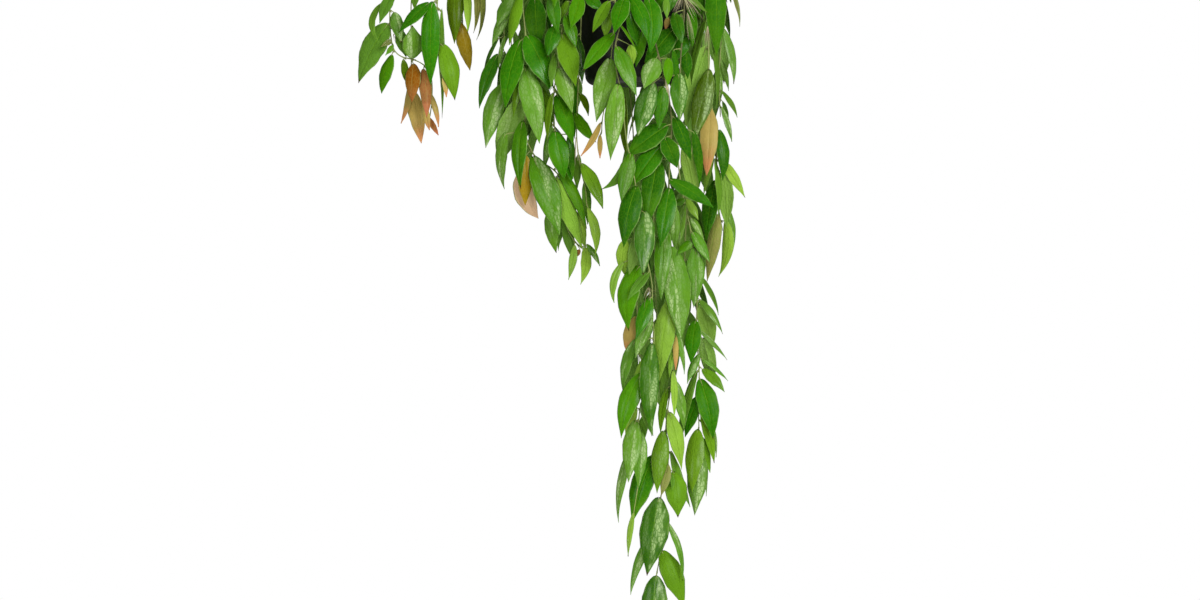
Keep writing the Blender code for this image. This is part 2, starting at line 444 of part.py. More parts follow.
            (12.2, -28.2, 13.6, -34.2, 1.3, 0.6, 50, "s", 0.4),
        ],
        "fill": (0.04, 0.20, 2, "m", 4, 13),
        "tone": "m",
    },
    "shoot_right_5": {
        "path": [(4.6, 2.8, -1.5), (7.4, 2.6, 3.6), (10.8, 1.0, 3.4), (12.2, -0.6, -1.6),
                 (12.0, -1.6, -7), (11.7, -2.0, -12), (11.9, -2.0, -17)],
        "radius": 0.16,
        "leaves": [
            (13.0, 0.8, 14.6, -5.0, 0.9, 0.4, 40, "n", 0.3),
            (12.3, -5.4, 13.7, -12.7, 1.5, -0.4, 35, "e", 0.4),
            (12.0, -9.4, 13.1, -13.4, 1.1, 0.9, 35, "e", 0),
            (12.1, -13.6, 14.1, -17.1, 0.9, -0.4, 35, "e", 0.3),
            (12.2, -15.0, 13.0, -17.6, 0.9, 0.6, 40, "e", 0),
            (12.1, -15.8, 13.4, -20.3, 1.1, -0.2, 40, "s", 0),
            (11.6, -10.8, 11.3, -17.0, 1.8, 1.0, -20, "s", 0),
        ],
        "fill": (0.10, 0.50, 3, "m", 7, 12.8),
        "tone": "m",
    },
    "shoot_right_6": {
        "path": [(2.4, 1.6, -1.5), (5.2, 2.4, 4.2), (8.2, 3.6, 3.4), (9.6, 4.4, -2), (9.4, 4.0, -9),
                 (8.6, 2.2, -17), (7.8, 0.2, -26), (7.2, -1.6, -35), (7.2, -2.8, -44)],
        "radius": 0.19,
        "leaves": [],
        "fill": (0.08, 1.0, 14, "m", 2.5, 11.6),
        "tone": "m",
    },
    "shoot_right_7": {
        "path": [(1.0, 4.2, -1.5), (2.4, 7.0, 3.6), (3.6, 9.4, 1.4), (4.0, 9.8, -5), (3.8, 8.4, -13),
                 (3.4, 5.2, -22), (3.2, 2.0, -31), (3.4, -0.8, -40), (3.8, -3.0, -49)],
        "radius": 0.19,
        "leaves": [],
        "fill": (0.08, 1.0, 15, "m", -1.2, 8),
        "tone": "o",
    },
    "shoot_right_8": {
        "path": [(-0.6, 2.6, -1.5), (-1.0, 6.4, 4.6), (-1.4, 9.6, 2.2), (-1.2, 10.2, -4),
                 (0.0, 8.4, -12), (0.6, 5.4, -20), (0.8, 1.6, -28), (0.8, -2.4, -36),
                 (1.0, -5.0, -44), (1.2, -6.6, -50)],
        "radius": 0.18,
        "leaves": [],
        "fill": (0.08, 1.0, 14, "m", -1.4, 6),
        "tone": "m",
    },
    "shoot_right_9": {
        "path": [(3.2, -3.4, -1.5), (5.2, -6.0, 1.8), (7.0, -6.2, -1.4), (7.6, -5.8, -5),
                 (7.5, -5.6, -9)],
        "radius": 0.13,
        "leaves": [
            (7.5, -6.4, 5.4, -10.2, 2.1, -0.8, -10, "d", 0),
            (7.2, -8.6, 7.5, -12.3, 1.6, -0.6, 10, "d", 0),
            (7.9, -3.0, 8.1, -8.2, 1.6, -0.6, 10, "m", 0),
        ],
        "fill": (0.20, 0.50, 1, "m", 3, 10),
        "tone": "d",
    },
    "shoot_top_1": {
        "path": [(0.8, 0.4, -1.5), (1.4, 0.6, 6), (3.6, 0.8, 12.5), (6.8, 1.0, 14.5)],
        "radius": 0.18, "leaves": [], "fill": (0.22, 1.0, 6, "m", -3, 12), "tone": "m",
    },
    "shoot_top_2": {
        "path": [(-0.8, -0.4, -1.5), (-1.0, -1.2, 7), (-0.6, -3.4, 13.4), (0.2, -6.2, 14.6)],
        "radius": 0.18, "leaves": [], "fill": (0.22, 1.0, 6, "g", -6, 6), "tone": "g",
    },
    "shoot_top_3": {
        "path": [(0.6, 3.0, -1.5), (2.2, 5.6, 6), (3.6, 8.8, 8.4), (4.4, 12.2, 6.4), (4.6, 13.6, 1)],
        "radius": 0.18, "leaves": [], "fill": (0.20, 1.0, 7, "m", 0, 9), "tone": "m",
    },
    "shoot_top_4": {
        "path": [(-2.2, 4.2, -1.5), (-4.2, 7.2, 5), (-6.6, 10.4, 6), (-8.4, 12.4, 1.6), (-9, 12.6, -5)],
        "radius": 0.18, "leaves": [], "fill": (0.18, 1.0, 8, "g", -12, -3), "tone": "g",
    },
    "shoot_top_5": {
        "path": [(3.0, 3.2, -1.5), (5.8, 5.2, 5.4), (9, 6.8, 6.2), (11, 7.2, 1.4), (11.4, 7.0, -5)],
        "radius": 0.18, "leaves": [], "fill": (0.18, 1.0, 7, "m", 5, 14), "tone": "m",
    },
}


# ---------------------------------------------------------------- layout: curves and leaf placing
def catmull_rom(points, step=0.5):
    """A smooth curve through the points, with a sample about every `step`."""
    pts = [Vector(p) for p in points]
    pts = [2 * pts[0] - pts[1]] + pts + [2 * pts[-1] - pts[-2]]
    curve = []
    for i in range(1, len(pts) - 2):
        a, b, c, d = pts[i - 1 : i + 3]
        square, cube = 2 * a - 5 * b + 4 * c - d, 3 * b - a - 3 * c + d
        count = max(2, round((c - b).length / step))
        for k in range(count):
            t = k / count
            curve.append(0.5 * (2 * b + (c - a) * t + square * t * t + cube * t**3))
    curve.append(pts[-2])
    return curve


class Spine:
    """The middle line of a stem, measured along its length."""

    def __init__(self, points, base_radius):
        self.points = catmull_rom(points)
        self.at = [0.0]
        for a, b in zip(self.points, self.points[1:]):
            self.at.append(self.at[-1] + (b - a).length)
        self.length = self.at[-1]
        self.base_radius = base_radius

    def locate(self, s):
        s = min(max(s, 0.0), self.length)
        low, high = 0, len(self.at) - 1
        while high - low > 1:
            mid = (low + high) // 2
            if self.at[mid] <= s:
                low = mid
            else:
                high = mid
        share = (s - self.at[low]) / max(1e-9, self.at[high] - self.at[low])
        return low, high, share

    def point(self, s):
        low, high, share = self.locate(s)
        return self.points[low].lerp(self.points[high], share)

    def tangent(self, s):
        return (self.point(s + 0.3) - self.point(s - 0.3)).normalized()

    def radius(self, s):
        return TIP_STEM + (self.base_radius - TIP_STEM) * (1 - s / self.length) ** 0.8

    def nearest(self, x, z):
        """The place on the hanging stretch of the stem nearest to (x, z) as seen from the front."""
        top = max(range(len(self.points)), key=lambda i: self.points[i].z)
        hanging = range(top, len(self.points))
        best = min(hanging, key=lambda i: math.hypot(self.points[i].x - x, self.points[i].z - z))
        return self.at[best]


class Leaf:
    """One leaf: where its stalk leaves the stem, its blade's middle line and how it faces."""

    def __init__(self, start, tip, width, face, tone, bow, node):
        self.start = start
        self.tip = tip
        self.width = width
        self.tone = tone
        self.node = node
        chord = tip - start
        self.length = chord.length
        along = chord.normalized()
        look = Vector((math.sin(math.radians(face)), -math.cos(math.radians(face)), 0.25))
        self.up = (look - along * look.dot(along)).normalized()
        sideways = Vector((1, 0, 0)) - along * along.x
        arch = 0.10 * self.length
        self.middle = (start + tip) / 2 + self.up * arch + sideways * bow

    def point(self, t):
        return self.start * (1 - t) ** 2 + self.middle * 2 * t * (1 - t) + self.tip * t * t

    def frame(self, t):
        """Across, upper side and along, at a share t of the blade."""
        along = ((self.middle - self.start) * (1 - t) + (self.tip - self.middle) * t).normalized()
        up = (self.up - along * self.up.dot(along)).normalized()
        return up.cross(along).normalized(), up, along

    def half_width(self, t):
        """Rounded at the base, widest before the middle, drawn out to a point."""
        if t < 0.40:
            share = math.sqrt(max(0.0, 1 - (1 - t / 0.40) ** 2))
        else:
            u = (t - 0.40) / 0.60
            share = (1 - u**2.1) * (1 - 0.14 * u)
        return max(0.08, self.width / 2 * share)


def room_round(leaf, first):
    """The closed skin that a blade needs to itself, from a share `first` of it to its tip."""
    points, faces = [], []
    stations = [first + (1.0 - first) * k / 5 for k in range(6)]
    for t in stations:
        across, up, along = leaf.frame(t)
        w = leaf.half_width(t) + CLEAR / 2
        h = LEAF_THICK + CLEAR
        centre = leaf.point(t) + (along * 0.1 if t == 1.0 else Vector())
        points += [centre + across * w, centre + up * h, centre - across * w, centre - up * h]
    for k in range(len(stations) - 1):
        a, b = 4 * k, 4 * k + 4
        faces += [(a + i, a + (i + 1) % 4, b + (i + 1) % 4, b + i) for i in range(4)]
    faces += [(0, 1, 2, 3), tuple(len(points) - 4 + i for i in range(4))]
    return points, faces


def tube_skin(points, radii, sides=6):
    """A plain tube for the clearance test."""
    verts, faces = [], []
    frame = None
    for i, (p, r) in enumerate(zip(points, radii)):
        along = (points[min(i + 1, len(points) - 1)] - points[max(i - 1, 0)]).normalized()
        side = frame if frame is not None else along.orthogonal()
        side = (side - along * side.dot(along)).normalized()
        frame = side
        other = along.cross(side)
        for k in range(sides):
            a = math.tau * k / sides
            verts.append(p + (side * math.cos(a) + other * math.sin(a)) * r)
    for i in range(len(points) - 1):
        a, b = sides * i, sides * (i + 1)
        faces += [(a + k, a + (k + 1) % sides, b + (k + 1) % sides, b + k) for k in range(sides)]
    return verts, faces


class Room:
    """What is already placed, for the clearance test."""

    def __init__(self, names):
        self.items = []
        self.placed = {name: [] for name in names}

    def add(self, skin, owner, kind):
        points, faces = skin
        low = Vector([min(p[i] for p in points) for i in range(3)])
        high = Vector([max(p[i] for p in points) for i in range(3)])
        self.items.append((BVHTree.FromPolygons(points, faces), low, high, owner, kind))

    def meets(self, skin, skip_stem_of=None, only_stem_of=None):
        points, faces = skin
        low = [min(p[i] for p in points) for i in range(3)]
        high = [max(p[i] for p in points) for i in range(3)]
        tree = None
        for other, o_low, o_high, owner, kind in self.items:
            if any(low[i] > o_high[i] or high[i] < o_low[i] for i in range(3)):
                continue
            if skip_stem_of == owner and kind == "stem":
                continue
            if only_stem_of is not None and not (owner == only_stem_of and kind == "stem"):
                continue
            if tree is None:
                tree = BVHTree.FromPolygons(points, faces)
            if tree.overlap(other):
                return True
        return False

    def accept(self, name, leaf):
        """Places the leaf if nothing is in its way."""
        full = room_round(leaf, 0.0)
        if self.meets(full, skip_stem_of=name) or self.meets(room_round(leaf, 0.06), only_stem_of=name):
            return False
        self.add(full, name, "leaf")
        self.placed[name].append(leaf)
        return True


def hand_leaf(spine, row, lean_more, turn, shrink, slide):
    """A leaf from a row of the layout, with the small changes that clear its neighbours."""
    x0, z0, x1, z1, width, toward, face, tone, bow = row
    z0 += slide
    node = spine.nearest(x0, z0 + 0.35)
    root = spine.point(node)
    dx, dz = x0 - root.x, z0 - root.z
    depth = math.sqrt(max(0.0, STALK_OFFSET**2 - dx * dx - dz * dz))
    if dx * (x1 - root.x) <= 0 or abs(x1 - root.x) < 1.2:
        depth = max(depth, STALK_OFFSET)  # the blade crosses its own stem, so it starts well in front
    front = -1 if math.cos(math.radians(face)) * (1 if toward <= 0.5 else -1) > 0 else 1
    start = Vector((x0, root.y + front * depth, z0))
    tip = Vector((x1, start.y + toward + lean_more, z1))
    tip = start + (tip - start) * shrink
    return Leaf(start, tip, width * shrink, face + turn, tone, bow, node)


def fill_leaf(spine, node, azimuth, lean, length, tone, ratio):
    """A leaf of the layout's fill: it hangs out from the stem at the azimuth and droops."""
    root = spine.point(node)
    out = Vector((math.sin(azimuth), -math.cos(azimuth), 0))
    along = spine.tangent(node)
    side = (out - along * out.dot(along)).normalized()
    start = root + side * (STALK_OFFSET + 0.05) + Vector((0, 0, -0.1))
    tip = start + (out * math.sin(lean) - Vector((0, 0, 1)) * math.cos(lean)) * length
    face = math.degrees(azimuth)
    return Leaf(start, tip, length * ratio, face, tone, 0, node)


HAND_TRIES = [
    (lean, turn, shrink, slide)
    for shrink in (1.0, 0.9, 0.8)
    for slide in (0.0, 0.4, -0.4)
    for lean, turn in (
        (0, 0), (-0.7, 0), (0.7, 0), (0, 14), (0, -14), (-1.4, 0), (1.4, 0), (-0.7, 14), (0.7, -14),
        (-2.1, 0), (2.1, 0), (-1.4, -14), (1.4, 14), (-2.8, 0), (2.8, 0), (-3.6, 10), (3.6, -10),
        (0, 28), (0, -28),
        (-4.4, 0), (4.4, 0), (-1.4, 28), (1.4, -28),
    )
]
FILL_TRIES = [
    (turn, lean, shrink)
    for shrink in (1.0, 0.85, 0.7)
    for turn in (0, 0.5, -0.5, 1.0, -1.0, 1.6, -1.6, 2.3, -2.3, math.pi)
    for lean in (0, 0.25, -0.2)
]


def stem_spacing(leaves, length):
    """Spreads the leaf nodes so that each has its own short stretch of stem."""
    leaves.sort(key=lambda leaf: leaf.node)
    for _ in range(40):
        for a, b in zip(leaves, leaves[1:]):
            lack = NODE_STEP - (b.node - a.node)
            if lack > 0:
                a.node -= lack / 2
                b.node += lack / 2
    last = 0.4
    for leaf in leaves:
        leaf.node = max(leaf.node, last + NODE_STEP)
        last = leaf.node
    limit = length - 0.30
    for leaf in reversed(leaves):
        leaf.node = min(leaf.node, limit)
        limit = leaf.node - NODE_STEP


def rank(row):
    """Large leaves are placed first."""
    return ((row[0] - row[2]) ** 2 + (row[1] - row[3]) ** 2) * row[4]


def place_leaves():
    """Every shoot's spine and leaves, each leaf clear of what was placed before it."""
    spines = {name: Spine(shoot["path"], shoot["radius"]) for name, shoot in SHOOTS.items()}
    room = Room(SHOOTS)
    for name, spine in spines.items():
        room.add(tube_skin(spine.points, [spine.radius(s) + 0.12 for s in spine.at]), name, "stem")
    for skin in fixed_skins():
        room.add(skin, "holder", "solid")

    rows = [(name, row) for name, shoot in SHOOTS.items() for row in shoot["leaves"]]
    rows.sort(key=lambda item: rank(item[1]), reverse=True)
    for name, row in rows:
        for change in HAND_TRIES:
            if room.accept(name, hand_leaf(spines[name], row, *change)):
                break

    chance = random.Random(7)
    for name, shoot in SHOOTS.items():
        fill_shoot(room, name, spines[name], shoot["fill"], chance)
    return spines, room


def fill_shoot(room, name, spine, fill, chance):
    """Adds a shoot's fill leaves, turning each one until it finds room."""
    begin, end, count, tone, least, greatest = fill
    azimuth = chance.uniform(0, math.tau)
    for k in range(count):
        node = min(spine.length * (begin + (end - begin) * (k + 0.5) / count), spine.length - 0.4)
        azimuth += math.radians(137.5)
        length = chance.uniform(6.4, 9.6)
        lean = chance.uniform(0.25, 0.60)
        ratio = chance.uniform(0.30, 0.38)
        for turn, more, shrink in FILL_TRIES:
            leaf = fill_leaf(spine, node, azimuth + turn, lean + more, length * shrink, tone, ratio)
            edge = leaf.width / 2
            low_x = min(leaf.tip.x, leaf.point(0.4).x - edge)
            high_x = max(leaf.tip.x, leaf.point(0.4).x + edge)
            hangs = leaf.tip.z < FILL_LOW
            if hangs and (low_x < least or high_x > greatest or leaf.tip.y < leaf.start.y):
                continue
            if room.accept(name, leaf):
                break


# ---------------------------------------------------------------- the pot and hanger as plain skins
def pot_profile():
    """The pot's closed profile as (radius, height above the base): out along the base, up, over and back."""
    band = POT_HEIGHT - RIM_BAND_HEIGHT
    corner = [
        (POT_BASE_RADIUS - POT_CORNER * (1 - math.sin(a)), POT_CORNER * (1 - math.cos(a)))
        for a in (math.radians(d) for d in (0, 45, 90))
    ]
    inner_corner = [(r - POT_WALL, z + POT_WALL) for r, z in reversed(corner)]
    return (
        corner
        + [
            (POT_WALL_TOP_RADIUS, band - 0.001),
            (RIM_RADIUS - 0.0006, band),
            (RIM_RADIUS, band + 0.001),
            (RIM_RADIUS, POT_HEIGHT - 0.001),
            (RIM_RADIUS - 0.0008, POT_HEIGHT),
            (RIM_RADIUS - 0.0026, POT_HEIGHT),
            (RIM_RADIUS - 0.0034, POT_HEIGHT - 0.001),
            (POT_WALL_TOP_RADIUS - POT_WALL, band - 0.002),
        ]
        + inner_corner
    )


def strap_line(angle):
    """The middle line of one strap, from the boss down to the rim, as points in metres."""
    a = math.radians(angle)
    run = [
        (BOSS_RADIUS * 0.6, BOSS_Z),
        (BOSS_RADIUS + 0.006, BOSS_Z - 0.008),
        (BOSS_RADIUS + 0.016, BOSS_Z - 0.034),
        (RIM_RADIUS * 0.62, (BOSS_Z + RIM_Z) * 0.5),
        (RIM_RADIUS - 0.004, RIM_Z + 0.028),
        (RIM_RADIUS + STRAP_THICK * 0.5 + FIT_GAP, RIM_Z + 0.004),
        (RIM_RADIUS + STRAP_THICK * 0.5 + FIT_GAP, RIM_Z - RIM_BAND_HEIGHT - 0.005),
    ]
    return [Vector((math.cos(a) * r, math.sin(a) * r, z)) for r, z in run]


def hook_line():
    """The middle line of the hook's bar: up from the boss, over the rail and down the other side."""
    reach = HOOK_INNER + HOOK_BAR
    arc = [
        Vector((math.cos(a) * reach, 0, -HOOK_INNER + math.sin(a) * reach))
        for a in (math.radians(d) for d in range(-30, 206, 16))
    ]
    return [Vector((0, 0, BOSS_Z)), Vector((0.0015, 0, BOSS_Z + 0.008))] + arc


def fixed_skins():
    """The pot with its mix, the straps and the hook, in the layout's centimetres."""

    def to_layout(p):
        return Vector((p.x / CM, p.y / CM, (p.z - RIM_Z) / CM))

    outline = [
        (0.0, -POT_HEIGHT),
        (POT_BASE_RADIUS - 0.006, -POT_HEIGHT),
        (POT_BASE_RADIUS, -POT_HEIGHT + POT_CORNER),
        (POT_WALL_TOP_RADIUS, -RIM_BAND_HEIGHT),
        (RIM_RADIUS + 0.001, -RIM_BAND_HEIGHT),
        (RIM_RADIUS + 0.001, 0.001),
        (RIM_RADIUS - 0.004, 0.001),
        (0.0, SOIL_TOP - RIM_Z + 0.002),
    ]
    sides = 24
    points, faces = [], []
    for r, z in outline:
        points += [
            Vector((math.cos(math.tau * k / sides) * r / CM, math.sin(math.tau * k / sides) * r / CM, z / CM))
            for k in range(sides)
        ]
    for i in range(len(outline) - 1):
        a, b = sides * i, sides * (i + 1)
        faces += [(a + k, a + (k + 1) % sides, b + (k + 1) % sides, b + k) for k in range(sides)]
    skins = [(points, faces)]
    for angle in STRAP_ANGLES:
        line = [to_layout(p) for p in strap_line(angle)]
        skins.append(tube_skin(line, [0.42] * len(line)))
    return skins


# ---------------------------------------------------------------- solids
def to_world(p):
    return Vector((p[0] * CM, p[1] * CM, RIM_Z + p[2] * CM))


def material(name, colour, roughness, metallic=0.0):
    found = bpy.data.materials.get(name)
    if found:
        return found
    made = bpy.data.materials.new(name)
    made.use_nodes = True
    shader = made.node_tree.nodes["Principled BSDF"]
    shader.inputs["Base Color"].default_value = (*colour, 1.0)
    shader.inputs["Roughness"].default_value = roughness
    shader.inputs["Metallic"].default_value = metallic
    return made


def finish_object(bm, name, surface, smooth_angle=None):
    bmesh.ops.recalc_face_normals(bm, faces=bm.faces)
    mesh = bpy.data.meshes.new(name)
    bm.to_mesh(mesh)
    bm.free()
    mesh.materials.append(surface)
    if smooth_angle:
        mesh.shade_smooth()
        mesh.set_sharp_from_angle(angle=math.radians(smooth_angle))
    obj = bpy.data.objects.new(name, mesh)
    bpy.context.scene.collection.objects.link(obj)
    return obj


def make_shoot(name, spine, leaves, surface):
    """One stem with its leaves drawn out of its sides, as one closed skin."""
    cuts = []
    for leaf in leaves:
        cuts.append((leaf.node - NODE_HALF, leaf))
        cuts.append((leaf.node + NODE_HALF, None))
    marks = [0.0] + [s for s, _ in cuts] + [spine.length]
    plain = []
    for a, b in zip(marks, marks[1:]):
        extra = int((b - a) / 3.2)
        plain += [a + (b - a) * k / (extra + 1) for k in range(1, extra + 1)]
    rings = cuts + [(s, None) for s in [0.0, spine.length] + plain]
    rings.sort(key=lambda ring: ring[0])

    bm = bmesh.new()
    side = spine.tangent(0).orthogonal().normalized()
    previous, want = None, None
    for s, leaf in rings:
        along = spine.tangent(s) if s > 0 else Vector((0, 0, 1))
        side = (side - along * side.dot(along)).normalized()
        other = along.cross(side)
        if leaf is not None:
            out = leaf.start - spine.point(s)
            out = (out - along * out.dot(along)).normalized()
            turn = math.atan2(out.dot(other), out.dot(side)) - math.pi / STEM_SIDES
            quarter = math.tau / STEM_SIDES
            turn -= round(turn / quarter) * quarter
            side = (side * math.cos(turn) + other * math.sin(turn)).normalized()
            other = along.cross(side)
        centre, r = spine.point(s), spine.radius(s)
        ring = [
            bm.verts.new(to_world(centre + (side * math.cos(a) + other * math.sin(a)) * r))
            for a in (math.tau * k / STEM_SIDES for k in range(STEM_SIDES))
        ]
        if previous is None:
            bm.faces.new(list(reversed(ring)))
        else:
            quads = [
                [previous[k], previous[(k + 1) % STEM_SIDES], ring[(k + 1) % STEM_SIDES], ring[k]]
                for k in range(STEM_SIDES)
            ]
            hole = None
            if want is not None:
                start = to_world(want.start)
                hole = min(quads, key=lambda q: (sum((v.co for v in q), Vector()) / 4 - start).length)
            for quad in quads:
                if quad is hole:
                    grow_leaf(bm, quad, want)
                else:
                    bm.faces.new(quad)
        previous, want = ring, leaf
    bm.faces.new(previous)
    return finish_object(bm, name, surface)


def grow_leaf(bm, quad, leaf):
    """Draws a leaf out of one side of the stem: stalk, two widths of blade and the point."""
    stations = [(0.0, 0.10, 0.06), (0.30, None, LEAF_THICK), (0.66, None, LEAF_THICK)]
    if leaf.length < SMALL_LEAF:
        stations.pop()
    last = quad
    root = sum((v.co for v in quad), Vector()) / 4
    for t, width, thick in stations:
        across, up, along = leaf.frame(t)
        if last is quad:
            along = (along + (to_world(leaf.start) - root).normalized()).normalized()
            up = (up - along * up.dot(along)).normalized()
            across = up.cross(along)
        w = width if width else leaf.half_width(t)
        lift = 0.0 if width else 0.10 * w
        centre = leaf.point(t)
        ring = [
            bm.verts.new(to_world(p))
            for p in (
                centre + across * w + up * lift,
                centre + up * thick,
                centre - across * w + up * lift,
                centre - up * thick,
            )
        ]
        if last is quad:
            last = best_start(quad, ring)
        for k in range(4):
            bm.faces.new([last[k], last[(k + 1) % 4], ring[(k + 1) % 4], ring[k]])
        last = ring
    point = bm.verts.new(to_world(leaf.tip))
    for k in range(4):
        bm.faces.new([last[k], last[(k + 1) % 4], point])


def best_start(quad, ring):
    """The turn of the quad's corners that meets the ring with the least twist."""
    turns = [[quad[(k + shift) % 4] for k in range(4)] for shift in range(4)]
    return min(turns, key=lambda order: sum((a.co - b.co).length for a, b in zip(order, ring)))


def revolve(bm, profile, segments, base_z):
    """A closed turned body whose profile starts and ends on the axis."""
    rings = []
    for r, z in profile:
        turns = [math.tau * k / segments for k in range(segments)]
        rings.append([bm.verts.new((math.cos(a) * r, math.sin(a) * r, base_z + z)) for a in turns])
    for a, b in zip(rings, rings[1:]):
        for k in range(segments):
            n = (k + 1) % segments
            bm.faces.new([a[k], a[n], b[n], b[k]])
    for ring in (rings[0], rings[-1]):
        middle = bm.verts.new((0, 0, ring[0].co.z))
        for k in range(segments):
            bm.faces.new([ring[k], ring[(k + 1) % segments], middle])


def boolean(target, cutter, operation):
    """Applies a Boolean between two objects and removes the second."""
    modifier = target.modifiers.new(operation.lower(), "BOOLEAN")
    modifier.operation = operation
    modifier.object = cutter
    modifier.solver = "EXACT"
    shape = bpy.data.meshes.new_from_object(target.evaluated_get(bpy.context.evaluated_depsgraph_get()))
    target.modifiers.clear()
    target.data = shape
    bpy.data.objects.remove(cutter, do_unlink=True)


def make_pot():
    base_z = RIM_Z - POT_HEIGHT
    bm = bmesh.new()
    revolve(bm, pot_profile(), POT_SEGMENTS, base_z)
    pot = finish_object(bm, "pot", material("black_plastic", (0.012, 0.012, 0.013), 0.35), 35)
    bm = bmesh.new()
    for k in range(DRAIN_COUNT):
        a = math.tau * k / DRAIN_COUNT
        x, y = math.cos(a) * DRAIN_RING_RADIUS, math.sin(a) * DRAIN_RING_RADIUS
        bmesh.ops.create_cone(
            bm,
            cap_ends=True,
            segments=8,
            radius1=DRAIN_RADIUS,
            radius2=DRAIN_RADIUS,
            depth=POT_WALL * 4,
            matrix=Matrix.Translation((x, y, base_z + POT_WALL / 2)),
        )
    boolean(pot, finish_object(bm, "drain_cutter", pot.data.materials[0]), "DIFFERENCE")
    pot.data.shade_smooth()
    pot.data.set_sharp_from_angle(angle=math.radians(35))
    return pot


def make_soil():
    """The potting mix: it fills the pot and its top is gently mounded."""
    low = RIM_Z - POT_HEIGHT + POT_WALL + FIT_GAP
    top = SOIL_TOP - low
    wall_slope = (POT_WALL_TOP_RADIUS - POT_BASE_RADIUS) / (POT_HEIGHT - RIM_BAND_HEIGHT - POT_CORNER)
    inset = POT_WALL + FIT_GAP * 2
    corner = POT_BASE_RADIUS - inset
    upper = corner + wall_slope * (top - POT_CORNER)
    profile = [
        (corner - POT_CORNER, 0.0),
        (corner - POT_CORNER * 0.30, POT_CORNER * 0.30),
        (corner, POT_CORNER),
        (upper - 0.0005, top - 0.003),
        (upper - 0.004, top - 0.001),
        (upper * 0.55, top),
    ]
    bm = bmesh.new()
    revolve(bm, profile, 32, low)
    return finish_object(bm, "potting_mix", material("potting_mix", (0.045, 0.028, 0.018), 0.95))


def sweep_box(bm, line, width, thick, outward):
    """A flat strap along a line; `outward` gives the way its flat side faces."""
    previous = None
    for i, p in enumerate(line):
        along = (line[min(i + 1, len(line) - 1)] - line[max(i - 1, 0)]).normalized()
        across = along.cross(outward).normalized()
        flat = across.cross(along).normalized()
        corners = [
            (-width / 2, -thick / 2),
            (width / 2, -thick / 2),
            (width / 2, thick / 2),
            (-width / 2, thick / 2),
        ]
        ring = [bm.verts.new(p + across * u + flat * v) for u, v in corners]
        if previous is None:
            bm.faces.new(ring)
        else:
            for k in range(4):
                bm.faces.new([previous[k], previous[(k + 1) % 4], ring[(k + 1) % 4], ring[k]])
        previous = ring
    bm.faces.new(list(reversed(previous)))


def sweep_round(bm, line, radius, sides=8):
    points, faces = tube_skin(line, [radius] * len(line), sides)
    verts = [bm.verts.new(p) for p in points]
    for face in faces:
        bm.faces.new([verts[i] for i in face])
    bm.faces.new(list(reversed(verts[:sides])))
    bm.faces.new(verts[-sides:])


def make_hanger():
    """One moulding: the hook, the boss under it and three straps that clip round the rim band."""
    surface = material("hanger_plastic", (0.014, 0.014, 0.015), 0.4)
    bm = bmesh.new()
    profile = [
        (BOSS_RADIUS * 0.8, -0.006),
        (BOSS_RADIUS, -0.004),
        (BOSS_RADIUS, 0.002),
        (BOSS_RADIUS * 0.5, 0.006),
    ]
    revolve(bm, profile, 16, BOSS_Z)
    hanger = finish_object(bm, "pot_hanger", surface)
    bm = bmesh.new()
    sweep_round(bm, hook_line(), HOOK_BAR)
    boolean(hanger, finish_object(bm, "hook_bar", surface), "UNION")
    for angle in STRAP_ANGLES:
        a = math.radians(angle)
        outward = Vector((math.cos(a), math.sin(a), 0.25)).normalized()
        bm = bmesh.new()
        sweep_box(bm, catmull_strap(strap_line(angle)), STRAP_WIDTH, STRAP_THICK, outward)
        boolean(hanger, finish_object(bm, "strap", surface), "UNION")
        bm = bmesh.new()
        lip_z = RIM_Z - RIM_BAND_HEIGHT - FIT_GAP - 0.0022
        ends = (RIM_RADIUS + 0.0024, RIM_RADIUS - 0.0022)
        lip = [Vector((math.cos(a) * r, math.sin(a) * r, lip_z)) for r in ends]
        sweep_box(bm, lip, STRAP_WIDTH, 0.0032, Vector((0, 0, 1)))
        boolean(hanger, finish_object(bm, "lip", surface), "UNION")
    hanger.data.shade_smooth()
    hanger.data.set_sharp_from_angle(angle=math.radians(35))
    return hanger


def catmull_strap(line):
    """The strap's line with a smooth bow and few points."""
    scaled = [p / CM for p in line]
    return [p * CM for p in catmull_rom(scaled, 4.0)]


def main():
    for obj in list(bpy.data.objects):
        bpy.data.objects.remove(obj, do_unlink=True)
    make_pot()
    make_soil()
    make_hanger()
    spines, room = place_leaves()
    for name, leaves in room.placed.items():
        stem_spacing(leaves, spines[name].length)
        tone = SHOOTS[name]["tone"]
        make_shoot(name, spines[name], leaves, material("leaf_" + tone, TONES[tone], 0.4))


main()
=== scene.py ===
"""The finish of the ceratostema hanging basket, built round its solids.

Each shoot gets round stems and thin curved leaves that follow the same layout as its solid, and the pot,
its hanger and the potting mix get their finished surfaces. The layout tables are in centimetres from the
middle of the pot's rim: x to the right, y away from the front, z up.
"""

import math
import random
from bisect import bisect_right

import bpy
import numpy as np
from mathutils import Matrix, Vector, noise
from mathutils.bvhtree import BVHTree


